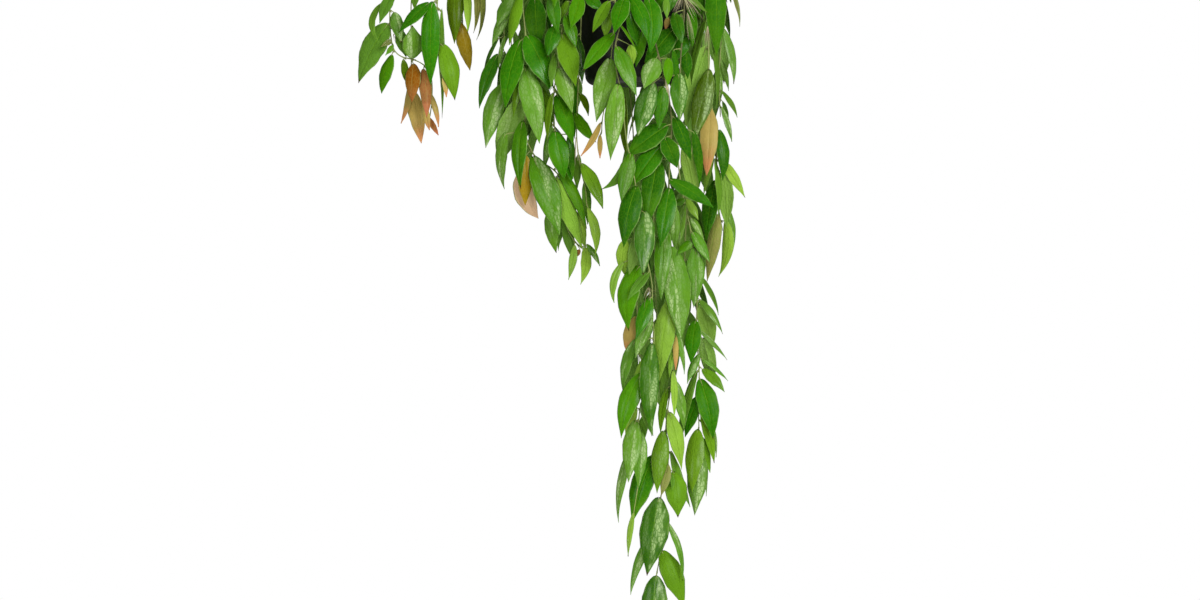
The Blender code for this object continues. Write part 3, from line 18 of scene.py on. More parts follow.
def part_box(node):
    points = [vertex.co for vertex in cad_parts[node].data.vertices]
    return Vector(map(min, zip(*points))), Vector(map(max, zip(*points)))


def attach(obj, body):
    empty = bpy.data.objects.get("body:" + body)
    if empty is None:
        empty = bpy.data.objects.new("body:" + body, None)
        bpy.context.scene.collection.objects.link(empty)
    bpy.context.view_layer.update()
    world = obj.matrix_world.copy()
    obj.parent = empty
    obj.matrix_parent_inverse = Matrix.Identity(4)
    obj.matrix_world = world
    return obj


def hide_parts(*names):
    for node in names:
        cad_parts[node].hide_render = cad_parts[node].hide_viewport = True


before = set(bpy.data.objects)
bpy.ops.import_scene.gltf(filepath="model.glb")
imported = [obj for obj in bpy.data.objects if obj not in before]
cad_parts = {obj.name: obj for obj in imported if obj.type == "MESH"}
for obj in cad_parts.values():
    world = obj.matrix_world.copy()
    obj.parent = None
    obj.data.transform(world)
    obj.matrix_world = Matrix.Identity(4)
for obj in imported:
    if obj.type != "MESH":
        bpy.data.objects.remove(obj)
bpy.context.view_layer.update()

# ---------------------------------------------------------------- the layout, as the solids have it
CM = 0.01
RIM_Z = -0.380  # the rim's plane, below the hook's bearing point
POT_HEIGHT = 0.127
POT_BASE_RADIUS = 0.0585  # where the wall meets the rounded lower corner
POT_CORNER = 0.012
POT_WALL_TOP_RADIUS = 0.0785  # just under the rim band
RIM_RADIUS = 0.083
RIM_BAND_HEIGHT = 0.014
POT_WALL = 0.0015
DRAIN_RADIUS = 0.0045
DRAIN_RING_RADIUS = 0.034
DRAIN_COUNT = 6

SOIL_TOP = RIM_Z - 0.016
FIT_GAP = 0.0004  # between pieces that touch

HOOK_BAR = 0.0026
HOOK_INNER = 0.014
BOSS_Z = -0.046
BOSS_RADIUS = 0.0075
STRAP_WIDTH = 0.0055
STRAP_THICK = 0.0024
STRAP_ANGLES = (90, 210, 330)

TIP_STEM = 0.10  # stem radius at a shoot's tip, cm
STEM_TAPER = 0.8  # under 1, so that a stem thins less than evenly at first
TANGENT_REACH = 0.3  # to each side of the place whose direction is asked for, cm
NODE_STEP = 0.42  # least distance along the stem between two leaf nodes, cm
SPACING_ROUNDS = 40  # times that crowded nodes are pushed apart
STALK_OFFSET = 0.45  # from the stem's axis to where a blade starts, cm
STALK_RISE = 0.35  # the stalk leaves the stem this far above the blade's start, cm
CROSSING = 1.2  # a tip nearer than this to the stem, as seen from the front, crosses it, cm
LEANS_BACK = 0.5  # a blade whose tip leans back more than this starts behind the stem, cm
LEAF_THICK = 0.06  # half thickness of a blade at its midrib, cm
WIDEST = 0.40  # where along its blade a leaf is widest
TIP_POWER = 2.1  # how full the outline stays towards the tip
TIP_NARROW = 0.14  # and how much of its width it loses there besides
LEAST_HALF = 0.08  # least half width, cm
BLADE_ARCH = 0.10  # by the blade's length
LOOK_UP = 0.25  # how far an upper side looks up, by how far it looks out
CLEAR = 0.12  # room kept round each blade, cm
ROOM_STATIONS = 6  # sections of that room along the blade
TIP_ROOM = 0.1  # past the tip, cm
OWN_STEM = 0.06  # the share of a blade that may touch its own stem
STRAP_ROOM = 0.42  # radius kept free round a strap, cm
BARE_END = 0.4  # bare stem at a shoot's root and tip, cm
LAST_NODE = 0.30  # the last leaf node is this far from the tip at least, cm
FILL_LOW = -2.2  # a fill leaf that reaches lower leans back and keeps to its shoot's x range, cm
FILL_OFFSET = 0.50  # from the stem's axis to where a fill leaf starts, cm
FILL_DROP = Vector((0, 0, -0.1))  # and how far below the node
FILL_LENGTH = (6.4, 9.6)  # cm
FILL_LEAN = (0.25, 0.60)  # out from straight down, radians
FILL_RATIO = (0.30, 0.38)  # a fill leaf's width by its length
GOLDEN_ANGLE = math.radians(137.5)  # round the stem from one fill leaf to the next
# Seeds of the random draws.
FILL_SEED = 7
MORE_FILL_SEED = 23
STEM_SEED = 3
MIX_SEED = 41

# ---------------------------------------------------------------- the shoots
# path: points that the stem passes, from the potting mix to its tip.
# leaves: (x, z of the blade's start, x, z of its tip, width, how far the tip leans back, the way its
# upper side faces in degrees: 0 to the front, 90 to the right, tone, sideways bow).
# A tone is a letter of LEAF_COLOURS.
# fill: (from, to along the stem as shares, how many leaves in the solid and how many more beyond it,
# tone, least x, greatest x).
SHOOTS = {
    "shoot_left_1": {
        "path": [(-2.0, 0.6, -1.5), (-3.6, 0.3, 4.5), (-9, -0.5, 10.5), (-19, -1.6, 12.5),
                 (-27, -2.4, 9), (-31, -2.8, 2.5), (-31.4, -2.9, -3), (-31.1, -2.9, -7.6),
                 (-30, -2.8, -9.1), (-28.4, -2.7, -9.5), (-26.9, -2.6, -10.3), (-26, -2.5, -11.8),
                 (-25.9, -2.5, -14.5), (-26.2, -2.5, -17.2)],
        "radius": 0.20,
        "leaves": [
            (-32.2, -2.0, -32.7, -7.5, 1.1, -1.2, -30, "e", -2.3),
            (-31.0, -0.8, -32.6, -5.0, 1.7, -2.2, -15, "e", 0),
            (-30.8, -3.4, -29.9, -7.4, 1.9, -0.8, 20, "s", 0),
            (-30.3, -5.6, -29.3, -9.2, 1.8, 0.8, 15, "e", 0),
            (-31.8, -5.0, -35.6, -12.6, 3.5, 0.6, -15, "e", -0.4),
            (-31.2, -7.0, -32.5, -8.1, 0.8, -0.8, 10, "n", 0.2),
            (-30.9, -7.7, -31.9, -9.1, 0.7, -1.2, 30, "s", 0),
            (-31.2, -9.0, -32.5, -14.0, 1.9, -0.3, -25, "g", -0.2),
            (-29.6, -9.6, -29.2, -12.9, 1.1, 0.2, 20, "o", 0),
            (-28.4, -9.3, -28.4, -5.1, 2.9, -0.9, 10, "s", 0),
            (-28.3, -10.2, -28.5, -15.2, 2.2, -0.9, -15, "b", 0),
            (-27.0, -10.9, -26.5, -17.2, 1.7, -1.6, 10, "r", 0.2),
            (-26.3, -13.6, -25.0, -18.4, 0.9, -0.4, 30, "t", 0.3),
            (-26.5, -16.6, -25.1, -19.4, 0.8, -0.6, 0, "r", 0),
            (-26.9, -15.4, -26.2, -18.8, 1.1, -0.2, -30, "t", 0),
        ],
        "fill": (0.06, 0.60, (6, 6), "m", -34, 4),
    },
    "shoot_left_2": {
        "path": [(-2.6, 2.2, -1.5), (-4, 2.6, 5), (-10, 2.8, 9), (-20, 2.4, 10), (-26.6, 1.6, 6.5),
                 (-28.6, 1.0, 0), (-28.8, 0.8, -6), (-28.7, 0.6, -13.4)],
        "radius": 0.18,
        "leaves": [
            (-28.4, 1.8, -28.3, -2.9, 1.7, -1.5, 10, "e", 0),
            (-28.5, -13.6, -27.4, -20.4, 2.2, -0.8, 10, "t", 0),
            (-29.1, -12.6, -30.1, -17.8, 1.0, -0.2, -20, "t", 0.9),
        ],
        "fill": (0.10, 0.60, (5, 7), "m", -33, -3),
    },
    "shoot_left_3": {
        "path": [(-1.2, -1.0, -1.5), (-3.4, -1.5, 5.5), (-9, -2.6, 9.5), (-17, -4.0, 10),
                 (-22.6, -4.4, 6.5), (-24.8, -4.6, 0.5), (-25.1, -4.6, -6), (-24.6, -4.5, -13.6)],
        "radius": 0.18,
        "leaves": [
            (-26.3, -2.3, -30.1, -6.2, 1.9, -1.0, -20, "m", 0),
            (-25.8, -2.4, -26.0, -13.0, 2.6, 0.4, -5, "m", 0),
            (-24.5, -3.4, -24.6, -17.2, 1.6, 1.8, 62, "s", -0.9),
            (-24.4, -7.8, -22.8, -15.0, 2.6, -1.2, 10, "y", 0.3),
            (-24.3, -11.8, -23.9, -14.6, 0.8, -0.9, 20, "t", 0),
        ],
        "fill": (0.10, 0.62, (4, 5), "m", -33, -3),
    },
    "shoot_left_4": {
        "path": [(-3.2, -0.4, -1.5), (-5, -0.6, 4.5), (-10.5, -1.0, 7.4), (-17, -1.2, 6.6),
                 (-20.8, -1.3, 2.5), (-21.9, -1.4, -2), (-21.9, -1.4, -5.2)],
        "radius": 0.17,
        "leaves": [
            (-22.7, 1.4, -23.0, -7.4, 2.4, -0.9, -10, "o", 0),
            (-22.3, -4.6, -21.0, -10.8, 2.0, -0.7, 15, "a", 0),
            (-21.3, -0.4, -21.2, -6.2, 1.5, -1.6, 45, "l", 0),
            (-20.4, 1.0, -20.5, -6.0, 1.4, 0.4, 50, "n", 0.5),
            (-20.0, 2.0, -20.1, -6.8, 1.3, 1.2, 55, "n", 0.9),
        ],
        "fill": (0.10, 0.74, (4, 4), "m", -25, -3),
    },
    "shoot_middle_1": {
        "path": [(-1.9, -2.2, -1.5), (-3.6, -4.6, 4.4), (-8.4, -6.2, 7.0), (-12.6, -6.6, 3.6),
                 (-13.9, -6.8, -1), (-13.6, -6.8, -7), (-13.9, -6.8, -11), (-13.6, -6.6, -16),
                 (-13.4, -6.5, -20), (-12.1, -6.4, -22.6), (-10.3, -6.3, -23.8), (-9.1, -6.2, -25.2),
                 (-8.6, -6.1, -28.4), (-8.3, -6.0, -31.2), (-7.3, -5.9, -33.2), (-6.2, -5.8, -34.4)],
        "radius": 0.20,
        "leaves": [
            (-14.3, -1.6, -15.7, -8.0, 1.9, -0.6, -30, "y", 0),
            (-13.3, -6.8, -10.3, -13.9, 3.6, -1.2, 15, "m", 0.3),
            (-14.3, -12.2, -15.2, -17.4, 1.2, 0.9, -25, "y", 0),
            (-6.5, -34.5, -7.5, -35.6, 0.8, -0.5, -20, "r", 0),
            (-14.3, -7.4, -16.2, -16.2, 3.2, -0.8, -20, "m", -0.4),
            (-13.7, -10.8, -11.7, -20.8, 3.2, -2.0, 5, "s", 0.3),
            (-14.2, -15.0, -17.3, -24.0, 3.2, 2.4, 170, "s", -0.4),
            (-14.0, -18.0, -14.2, -26.7, 2.4, -0.8, -30, "g", -0.3),
            (-16.2, -19.4, -16.4, -26.6, 1.7, 2.4, -20, "s", -0.8),
            (-13.6, -22.4, -13.6, -28.7, 2.1, -0.5, 5, "a", 0),
            (-14.0, -24.4, -11.9, -30.4, 2.9, 0.4, 165, "p", -1.4),
            (-12.5, -22.6, -9.1, -32.7, 3.5, -0.8, 5, "g", 0.2),
            (-9.4, -23.6, -5.6, -31.8, 1.6, 0.2, 20, "g", 0.5),
            (-6.8, -29.6, -5.7, -34.4, 1.6, 0.8, 10, "l", -0.3),
            (-9.6, -25.2, -6.1, -34.5, 2.4, -1.8, 12, "l", -0.2),
            (-10.6, -29.6, -9.6, -34.9, 1.8, 0.6, -15, "s", 0),
            (-8.8, -29.8, -9.4, -34.6, 1.4, 0.6, -20, "e", 0),
            (-8.5, -30.6, -7.3, -36.0, 1.5, 0.6, -10, "e", 0),
            (-7.2, -34.0, -8.0, -38.4, 1.1, -0.4, -10, "l", 0.3),
            (-5.8, -34.2, -6.4, -39.0, 1.5, -1.2, 20, "l", 0.6),
            (-5.6, -33.8, -3.9, -36.6, 0.9, 0.5, 20, "s", 0.3),
        ],
        "fill": (0.08, 0.32, (3, 4), "m", -17, 0),
    },
    "shoot_middle_2": {
        "path": [(-1.0, -3.2, -1.5), (-2.6, -6.2, 4.6), (-5.2, -8.2, 3.8), (-6.8, -8.8, -1),
                 (-7.9, -8.9, -3.6), (-8.8, -8.9, -6), (-9.2, -8.8, -10), (-9.8, -8.6, -14),
                 (-9.8, -8.5, -18.5), (-9.6, -8.4, -21.4)],
        "radius": 0.17,
        "leaves": [
            (-9.5, 1.6, -9.8, -3.4, 2.0, -0.5, -10, "g", 0),
            (-10.1, -1.6, -9.2, -6.7, 1.9, -1.2, -5, "m", -0.3),
            (-9.7, -5.6, -10.7, -9.7, 2.2, -1.0, -15, "m", 0),
            (-9.8, -9.2, -10.2, -13.8, 1.1, 0.9, -20, "e", 0),
            (-8.8, -6.8, -7.0, -13.5, 2.9, -0.8, 10, "y", 0),
            (-9.1, -11.0, -7.4, -17.0, 2.6, -1.4, 10, "s", 0),
            (-9.4, -14.6, -7.3, -21.0, 2.4, -0.7, 15, "m", 0),
            (-10.1, -14.4, -10.7, -20.4, 1.6, -0.6, -55, "y", 0),
            (-6.4, -1.8, -7.7, -6.1, 2.1, -1.2, 10, "g", 0),
            (-8.3, -4.3, -7.0, -8.5, 1.8, -1.4, 20, "g", 0),
            (-8.1, -2.4, -9.1, -4.8, 1.2, 0.8, -20, "y", 0),
            (-9.7, -19.4, -8.5, -25.4, 2.8, -0.5, 5, "m", 0),
            (-10.2, -18.6, -11.2, -24.4, 1.5, 1.8, -20, "g", 0),
            (-8.9, -20.6, -7.5, -25.9, 1.5, 1.0, 30, "m", 0),
            (-7.9, -19.6, -7.4, -25.4, 1.2, 0.9, 10, "d", 0),
        ],
        "fill": (0.10, 0.30, (2, 0), "m", -12, 0),
    },
    "shoot_middle_3": {
        "path": [(-4.4, 1.4, -1.5), (-6.6, 1.0, 3.6), (-11.2, -0.6, 5.6), (-15.2, -2.2, 2.4),
                 (-16.1, -3.0, -2.4), (-16.6, -3.4, -8), (-16.8, -3.5, -12), (-16.5, -3.5, -15)],
        "radius": 0.17,
        "leaves": [
            (-15.4, -1.2, -17.4, -5.5, 1.9, -1.6, -15, "e", 0),
            (-15.9, -3.0, -18.0, -7.8, 1.5, -2.4, -15, "e", 0),
            (-17.2, -6.8, -19.2, -11.8, 0.6, 0.6, -25, "k", -0.4),
            (-16.4, -6.6, -17.1, -11.2, 1.0, -1.6, -50, "s", 0),
            (-17.3, -9.0, -19.7, -16.0, 2.1, -0.4, -25, "d", -0.3),
            (-16.4, -8.6, -16.6, -12.0, 0.9, -1.4, 0, "s", 0),
            (-16.7, -13.0, -18.8, -21.2, 2.8, -1.0, -10, "s", -0.4),
            (-16.1, -14.2, -15.9, -19.6, 1.8, 0.6, 25, "s", 0),
        ],
        "fill": (0.10, 0.34, (2, 4), "m", -19, -3),
    },
    "shoot_middle_4": {
        "path": [(-3.6, -1.4, -1.5), (-5.8, -1.9, 3.4), (-9.4, -3.9, 5.0), (-11.6, -5.2, 1.4),
                 (-12.1, -5.2, -3.4), (-12.1, -4.6, -9), (-11.9, -4.2, -14)],
        "radius": 0.16,
        "leaves": [
            (-12.4, -1.8, -12.0, -8.4, 3.0, -1.2, 0, "d", 0),
            (-11.7, -5.8, -12.6, -11.4, 1.9, -0.8, -15, "m", 0),
            (-12.4, -11.0, -13.0, -17.0, 2.0, 1.2, -20, "s", 0),
            (-11.5, -13.4, -10.4, -19.6, 2.0, 1.0, 30, "y", 0),
        ],
        "fill": (0.12, 0.80, (3, 4), "m", -15, -8.5),
    },
    "shoot_middle_5": {
        "path": [(0.2, -4.0, -1.5), (-0.8, -7.0, 3.6), (-1.6, -9.6, 2.2), (-1.9, -10.6, -2.4),
                 (-2.2, -10.8, -7), (-2.6, -10.8, -11), (-3.1, -10.6, -15), (-3.6, -10.4, -18),
                 (-3.7, -10.3, -19.6)],
        "radius": 0.14,
        "leaves": [
            (-2.8, -2.6, -4.9, -6.7, 1.7, -0.8, -15, "y", 0),
            (-2.9, -3.8, -3.2, -7.4, 1.5, 0.8, -10, "y", 0),
            (-2.2, -6.8, -6.1, -11.6, 2.2, -0.9, -20, "g", 0),
            (-2.7, -10.5, -4.4, -18.2, 2.9, -1.4, -5, "s", 0.2),
            (-3.9, -18.3, -6.4, -22.5, 0.9, -0.6, -20, "t", 0.8),
            (-3.9, -19.8, -3.9, -22.8, 0.7, -0.2, 0, "t", 0),
        ],
        "fill": (0.10, 0.34, (2, 1), "m", -6, 2),
    },
    "shoot_middle_6": {
        "path": [(-3.4, -2.8, -1.5), (-4.8, -5.6, 1.6), (-5.6, -7.8, 0.9), (-6.2, -8.2, -3),
                 (-6.5, -7.4, -9), (-6.8, -6.9, -15), (-6.9, -6.8, -20), (-6.4, -6.8, -24),
                 (-5.8, -6.8, -26.4), (-5.6, -6.9, -28.8)],
        "radius": 0.15,
        "leaves": [
            (-5.9, -1.5, -3.3, -3.8, 1.6, -0.4, 10, "m", 0),
            (-6.9, -6.9, -6.2, -13.1, 1.5, -0.8, 20, "k", 0),
            (-7.2, -12.9, -7.2, -20.0, 1.3, 0.9, -25, "m", 0),
            (-6.5, -14.2, -5.4, -17.2, 1.0, -1.0, 20, "o", 0.3),
            (-7.0, -16.8, -4.4, -20.6, 1.7, -0.9, 20, "g", -0.8),
            (-6.2, -23.4, -3.5, -29.2, 2.0, -1.3, 20, "y", 0.2),
            (-6.7, -22.2, -6.9, -26.8, 1.2, 1.0, -20, "e", 0),
            (-5.8, -25.6, -5.5, -31.2, 1.3, 0.6, 20, "e", 0),
            (-5.4, -29.2, -4.5, -35.2, 1.4, -0.6, 20, "l", 0.8),
        ],
        "fill": (0.10, 0.70, (2, 2), "d", -9, -6.3),
    },
    "shoot_middle_7": {
        "path": [(-3.4, 3.6, -1.5), (-5.4, 5.2, 3.4), (-9.4, 6.2, 4.2), (-12, 5.4, 0),
                 (-12.6, 4.0, -6), (-11.8, 2.6, -13), (-10.2, 1.4, -19.5)],
        "radius": 0.17,
        "leaves": [],
        "fill": (0.10, 1.0, (9, 12), "m", -16, -5.6),
    },
    "shoot_middle_8": {
        "path": [(-5.2, 3.0, -1.5), (-8.4, 3.4, 3.0), (-13.4, 3.0, 3.2), (-15.4, 2.0, -1.6),
                 (-15.6, 1.0, -8), (-15.0, 0.2, -14.6)],
        "radius": 0.16,
        "leaves": [],
        "fill": (0.12, 1.0, (7, 10), "m", -18, -7),
    },
    "shoot_right_1": {
        "path": [(1.2, -3.0, -1.5), (2.4, -6.2, 4.6), (2.9, -9.4, 2.6), (3.1, -11.2, -3),
                 (3.1, -11.5, -7), (3.7, -11.5, -10), (4.4, -11.5, -12.8), (5.0, -11.5, -15.4),
                 (5.3, -11.4, -19), (5.0, -11.4, -24), (4.9, -11.3, -31), (5.0, -11.2, -36),
                 (5.0, -11.1, -41), (5.6, -11.0, -45.5), (5.3, -11.0, -51), (4.6, -11.0, -57),
                 (4.9, -11.0, -60.5), (4.7, -11.0, -63.6), (3.9, -11.1, -66.4), (3.9, -11.2, -70),
                 (3.8, -11.2, -73.4), (3.4, -11.2, -76.2)],
        "radius": 0.20,
        "leaves": [
            (4.6, -2.2, 4.7, -5.0, 1.0, -0.6, 10, "e", 0),
            (4.2, -1.2, 3.6, -4.6, 1.5, 0.8, -10, "m", 0),
            (2.3, -2.2, 2.5, -9.4, 2.8, -0.8, 5, "m", 0.8),
            (1.7, -6.4, 0.7, -11.0, 1.5, 0.8, -15, "g", 0),
            (3.3, -10.0, 1.7, -14.0, 2.7, -1.6, -10, "s", 0),
            (4.9, -10.0, 4.8, -13.6, 1.5, -0.8, 20, "g", 0),
            (2.8, -13.2, 0.9, -20.1, 2.9, -1.2, -12, "h", 0),
            (4.2, -13.8, 3.6, -19.2, 2.1, -0.6, 0, "m", 0),
            (6.2, -12.0, 6.3, -18.0, 2.4, -0.9, 10, "h", 0),
            (4.6, -18.6, -0.7, -22.7, 3.2, -1.0, -15, "d", 0),
            (5.7, -17.6, 7.8, -23.2, 2.1, -0.6, 15, "d", 0),
            (4.4, -19.8, 6.0, -24.1, 2.4, -1.8, 8, "d", 0),
            (3.9, -21.2, 0.2, -26.4, 3.1, 0.8, -15, "m", 0),
            (3.5, -23.0, 2.1, -31.4, 3.1, -1.6, -8, "d", 0),
            (5.2, -25.6, 10.7, -29.2, 2.1, -1.0, 15, "d", 0.3),
            (5.0, -26.8, 3.8, -34.2, 2.6, -1.0, 0, "m", 0),
            (5.6, -28.6, 5.7, -34.6, 1.5, 0.7, 10, "s", 0),
            (4.4, -31.6, 3.9, -41.0, 2.3, -0.9, -5, "g", 0),
            (5.2, -34.4, 6.5, -46.0, 3.8, -1.4, 8, "s", 0.3),
            (5.0, -41.2, 3.7, -51.5, 2.9, -1.3, -5, "l", -0.3),
            (6.0, -44.6, 7.0, -50.6, 1.2, 0.6, 50, "s", 0),
            (5.8, -45.6, 5.8, -50.0, 0.8, -0.5, 10, "t", 0),
            (5.4, -47.4, 5.0, -51.0, 0.8, -0.8, -20, "l", 0),
            (4.8, -49.0, 4.3, -55.8, 1.5, 0.8, -10, "e", 0),
            (4.7, -52.4, 3.9, -58.3, 1.1, 0.7, -20, "y", -0.3),
            (5.5, -50.2, 5.6, -56.2, 1.0, -0.5, 20, "l", 0),
            (5.9, -51.6, 6.9, -57.6, 1.6, 0.9, 25, "s", 0),
            (5.1, -55.6, 6.6, -62.8, 2.3, -0.5, 12, "l", 0),
            (4.2, -58.0, 3.4, -65.8, 2.3, -0.8, -8, "y", -0.2),
            (5.3, -60.6, 7.8, -67.8, 1.5, 0.8, 40, "s", -0.5),
            (4.8, -62.2, 3.8, -66.6, 1.5, -1.7, 10, "n", 0.2),
            (5.2, -63.0, 5.3, -65.4, 0.6, -1.2, 30, "e", 0.3),
            (5.6, -63.2, 6.1, -68.9, 3.0, -1.4, 12, "y", 0),
            (2.9, -61.2, 0.2, -69.7, 3.0, -0.6, -15, "m", -0.3),
            (3.6, -66.6, 2.1, -76.3, 3.8, -1.6, -5, "h", 0),
            (4.6, -69.4, 6.7, -77.0, 1.2, -0.4, 45, "s", 0.8),
            (3.2, -70.6, 0.0, -79.0, 1.7, 1.0, -40, "s", -0.7),
            (4.1, -73.4, 7.0, -80.6, 2.9, -0.6, 12, "y", 0.2),
            (3.3, -76.6, 2.6, -84.6, 3.3, -0.7, -3, "h", 0),
        ],
        "fill": (0.03, 0.06, (1, 0), "m", -1, 8),
    },
    "shoot_right_2": {
        "path": [(3.2, -1.6, -1.5), (5.0, -3.8, 4.4), (6.4, -6.4, 2.8), (7.0, -7.6, -3),
                 (6.6, -7.8, -9), (6.2, -8.2, -16), (6.2, -8.6, -23), (6.9, -8.7, -28),
                 (7.8, -8.7, -32), (8.3, -8.6, -36), (8.6, -8.5, -41), (8.6, -8.4, -45),
                 (8.9, -8.3, -50), (8.9, -8.2, -55), (8.9, -8.2, -60)],
        "radius": 0.19,
        "leaves": [
            (5.7, -1.0, 5.1, -3.7, 1.5, -0.6, -10, "m", 0),
            (6.8, -1.4, 10.0, -3.9, 0.9, -0.8, 10, "e", 0.2),
            (5.7, -3.9, 6.7, -7.9, 1.8, -1.2, 5, "d", 0),
            (4.9, -4.4, 4.6, -6.0, 0.8, 0.6, 0, "t", 0),
            (5.5, -6.0, 1.8, -10.4, 3.2, -0.8, -10, "d", 0.3),
            (5.6, -8.6, 6.1, -14.3, 1.1, -0.8, 30, "d", 0),
            (8.2, -19.2, 9.0, -26.4, 1.4, 1.0, 20, "d", 0.3),
            (7.0, -21.2, 8.7, -28.6, 2.2, 0.8, 165, "l", 0),
            (7.4, -28.0, 8.8, -30.7, 1.3, -0.7, 20, "l", 0),
            (7.9, -30.4, 9.6, -33.2, 1.2, 0.6, 30, "s", 0),
            (7.0, -28.0, 5.4, -28.9, 1.0, -0.8, -10, "g", 0),
            (6.9, -28.8, 6.2, -34.4, 1.5, -0.4, -35, "s", 0),
            (8.1, -32.3, 10.3, -36.2, 1.6, -0.8, 15, "g", 0),
            (7.9, -33.4, 6.0, -35.2, 1.4, -1.2, -10, "g", 0),
            (8.4, -34.4, 8.2, -42.0, 2.5, -0.8, 10, "s", 0),
            (9.0, -37.8, 11.5, -43.0, 1.4, 0.5, 60, "e", 0.3),
            (9.0, -41.0, 12.0, -45.4, 1.3, -0.6, 35, "e", 0.4),
            (9.2, -41.6, 10.6, -47.6, 2.3, 1.2, 170, "l", 0.3),
            (8.4, -43.8, 7.8, -49.2, 2.2, -1.3, -5, "m", 0),
            (9.1, -45.0, 12.6, -48.8, 1.2, 0.7, 62, "s", 0),
            (9.4, -46.0, 10.7, -52.0, 2.2, 1.6, 160, "s", 0.2),
            (8.8, -48.0, 7.3, -51.8, 1.3, -1.2, -30, "g", 0),
            (9.4, -48.6, 12.7, -51.5, 1.1, 0.4, 65, "s", 0),
            (9.4, -50.0, 12.2, -52.9, 1.5, -0.8, 10, "y", 0.4),
            (8.5, -50.4, 6.3, -61.2, 1.6, 0.4, -45, "e", -0.3),
            (9.1, -51.4, 10.7, -59.0, 2.9, -1.3, 10, "m", 0.4),
            (8.7, -53.6, 7.1, -58.8, 1.9, -1.0, -15, "m", 0),
            (9.3, -55.4, 10.9, -62.1, 1.5, -0.3, 20, "y", 0),
            (9.2, -58.7, 10.4, -63.4, 1.4, -1.2, 20, "y", 0),
            (8.7, -57.9, 7.9, -65.8, 2.5, -0.4, -14, "y", -0.2),
            (8.8, -60.4, 8.3, -68.8, 2.7, -1.0, 0, "s", 0),
            (9.3, -59.4, 9.9, -66.5, 1.1, 0.9, 35, "s", 0),
            (10.6, -57.4, 11.2, -61.5, 0.5, 0.7, 0, "s", 0.3),
        ],
        "fill": (0.04, 0.30, (2, 0), "m", 3, 10),
    },
    "shoot_right_3": {
        "path": [(-0.2, -2.2, -1.5), (-0.2, -5.8, 5.2), (0.0, -9.4, 4.0), (-0.4, -11.6, -1),
                 (-1.2, -12.6, -5.6), (-1.9, -12.8, -8.4), (-1.8, -12.9, -11.4), (-1.1, -12.8, -15),
                 (-0.6, -12.8, -20), (0.4, -12.8, -25), (1.2, -12.8, -30), (1.8, -12.8, -34.6),
                 (2.7, -12.7, -38.6), (2.8, -12.6, -43), (3.0, -12.6, -46.4), (2.2, -12.6, -51),
                 (1.2, -12.6, -55.2), (1.0, -12.6, -58.6), (0.9, -12.4, -62), (1.0, -12.2, -65)],
        "radius": 0.17,
        "leaves": [
            (-0.8, -2.2, -2.1, -7.1, 2.4, -0.9, -10, "m", 0),
            (0.1, -2.2, 2.2, -7.8, 2.3, -1.2, 10, "m", 0.7),
            (0.0, -4.0, 0.9, -8.5, 1.8, 0.9, 10, "m", 0),
            (-1.3, -5.7, 1.0, -9.8, 1.3, -1.2, 68, "g", 0),
            (0.0, -8.4, 0.3, -11.0, 1.4, 0.8, 10, "l", 0),
            (-1.7, -8.7, 0.8, -15.0, 2.3, -1.0, 10, "g", 0),
            (-1.6, -13.6, -2.6, -23.2, 2.6, -1.0, -10, "s", 0),
            (-0.7, -15.2, -0.5, -22.6, 1.8, 1.0, -50, "o", 0),
            (-0.6, -23.2, -3.8, -26.8, 1.3, 0.8, -20, "e", 2.0),
            (0.0, -22.4, -1.2, -28.4, 2.2, -0.6, -15, "g", 0),
            (0.7, -26.6, -0.9, -34.3, 3.0, -1.0, -12, "d", -0.4),
            (1.8, -29.8, 1.6, -37.9, 2.8, -2.6, 0, "h", 0),
            (1.3, -31.8, -0.2, -37.8, 1.9, 0.8, 165, "e", 0),
            (-0.6, -33.4, -0.6, -38.0, 1.8, 1.2, -10, "l", -0.7),
            (-1.0, -36.2, -2.1, -41.4, 1.2, 0.8, -30, "l", -1.0),
            (1.0, -36.8, -0.2, -45.0, 2.9, -0.5, -10, "g", -1.5),
            (2.3, -37.5, -0.4, -41.0, 1.3, -1.6, -20, "e", 0),
            (2.5, -40.8, 0.7, -46.0, 2.0, -0.8, -10, "m", 0),
            (2.6, -42.6, 0.6, -48.4, 1.9, 0.6, -20, "s", 0),
            (0.9, -43.2, 0.0, -48.4, 1.8, 1.4, -15, "t", -1.2),
            (2.8, -44.6, 0.1, -49.0, 1.2, -0.6, -50, "h", 0),
            (2.7, -46.8, 2.7, -58.4, 2.6, -1.2, 0, "h", -0.6),
            (1.9, -48.2, 0.1, -54.2, 1.4, 0.4, -30, "l", 0),
            (1.3, -50.6, -1.2, -58.7, 2.7, -0.8, -12, "g", -1.0),
            (0.6, -46.2, -1.0, -52.8, 1.6, 1.4, -20, "s", -0.6),
            (1.4, -54.2, 2.9, -58.4, 1.2, -1.1, 20, "e", 0),
            (0.7, -54.8, -0.6, -58.9, 1.6, 0.7, -10, "l", 0),
            (0.6, -56.6, -0.3, -64.2, 2.5, -0.7, -8, "s", 0),
            (2.2, -55.4, 0.6, -61.2, 1.6, -1.7, -20, "e", 0),
            (1.3, -58.0, 1.0, -65.2, 2.0, -0.3, 12, "s", 0),
            (0.4, -59.6, -1.6, -69.6, 1.5, 0.5, -35, "s", -0.8),
            (0.4, -68.4, -0.3, -74.0, 0.8, 0.8, -10, "l", -0.2),
        ],
        "fill": (0.05, 0.08, (1, 0), "m", -3, 2),
    },
    "shoot_right_4": {
        "path": [(4.4, 0.6, -1.5), (6.2, -0.8, 4.6), (8.8, -2.8, 3.6), (10.2, -4.4, -2),
                 (10.2, -5.0, -8), (10.3, -5.2, -12), (10.8, -5.4, -17), (11.3, -5.4, -23),
                 (11.5, -5.2, -28.6), (12.1, -5.0, -32)],
        "radius": 0.18,
        "leaves": [
            (11.2, 1.4, 11.3, -9.2, 3.0, -1.0, 5, "d", 0),
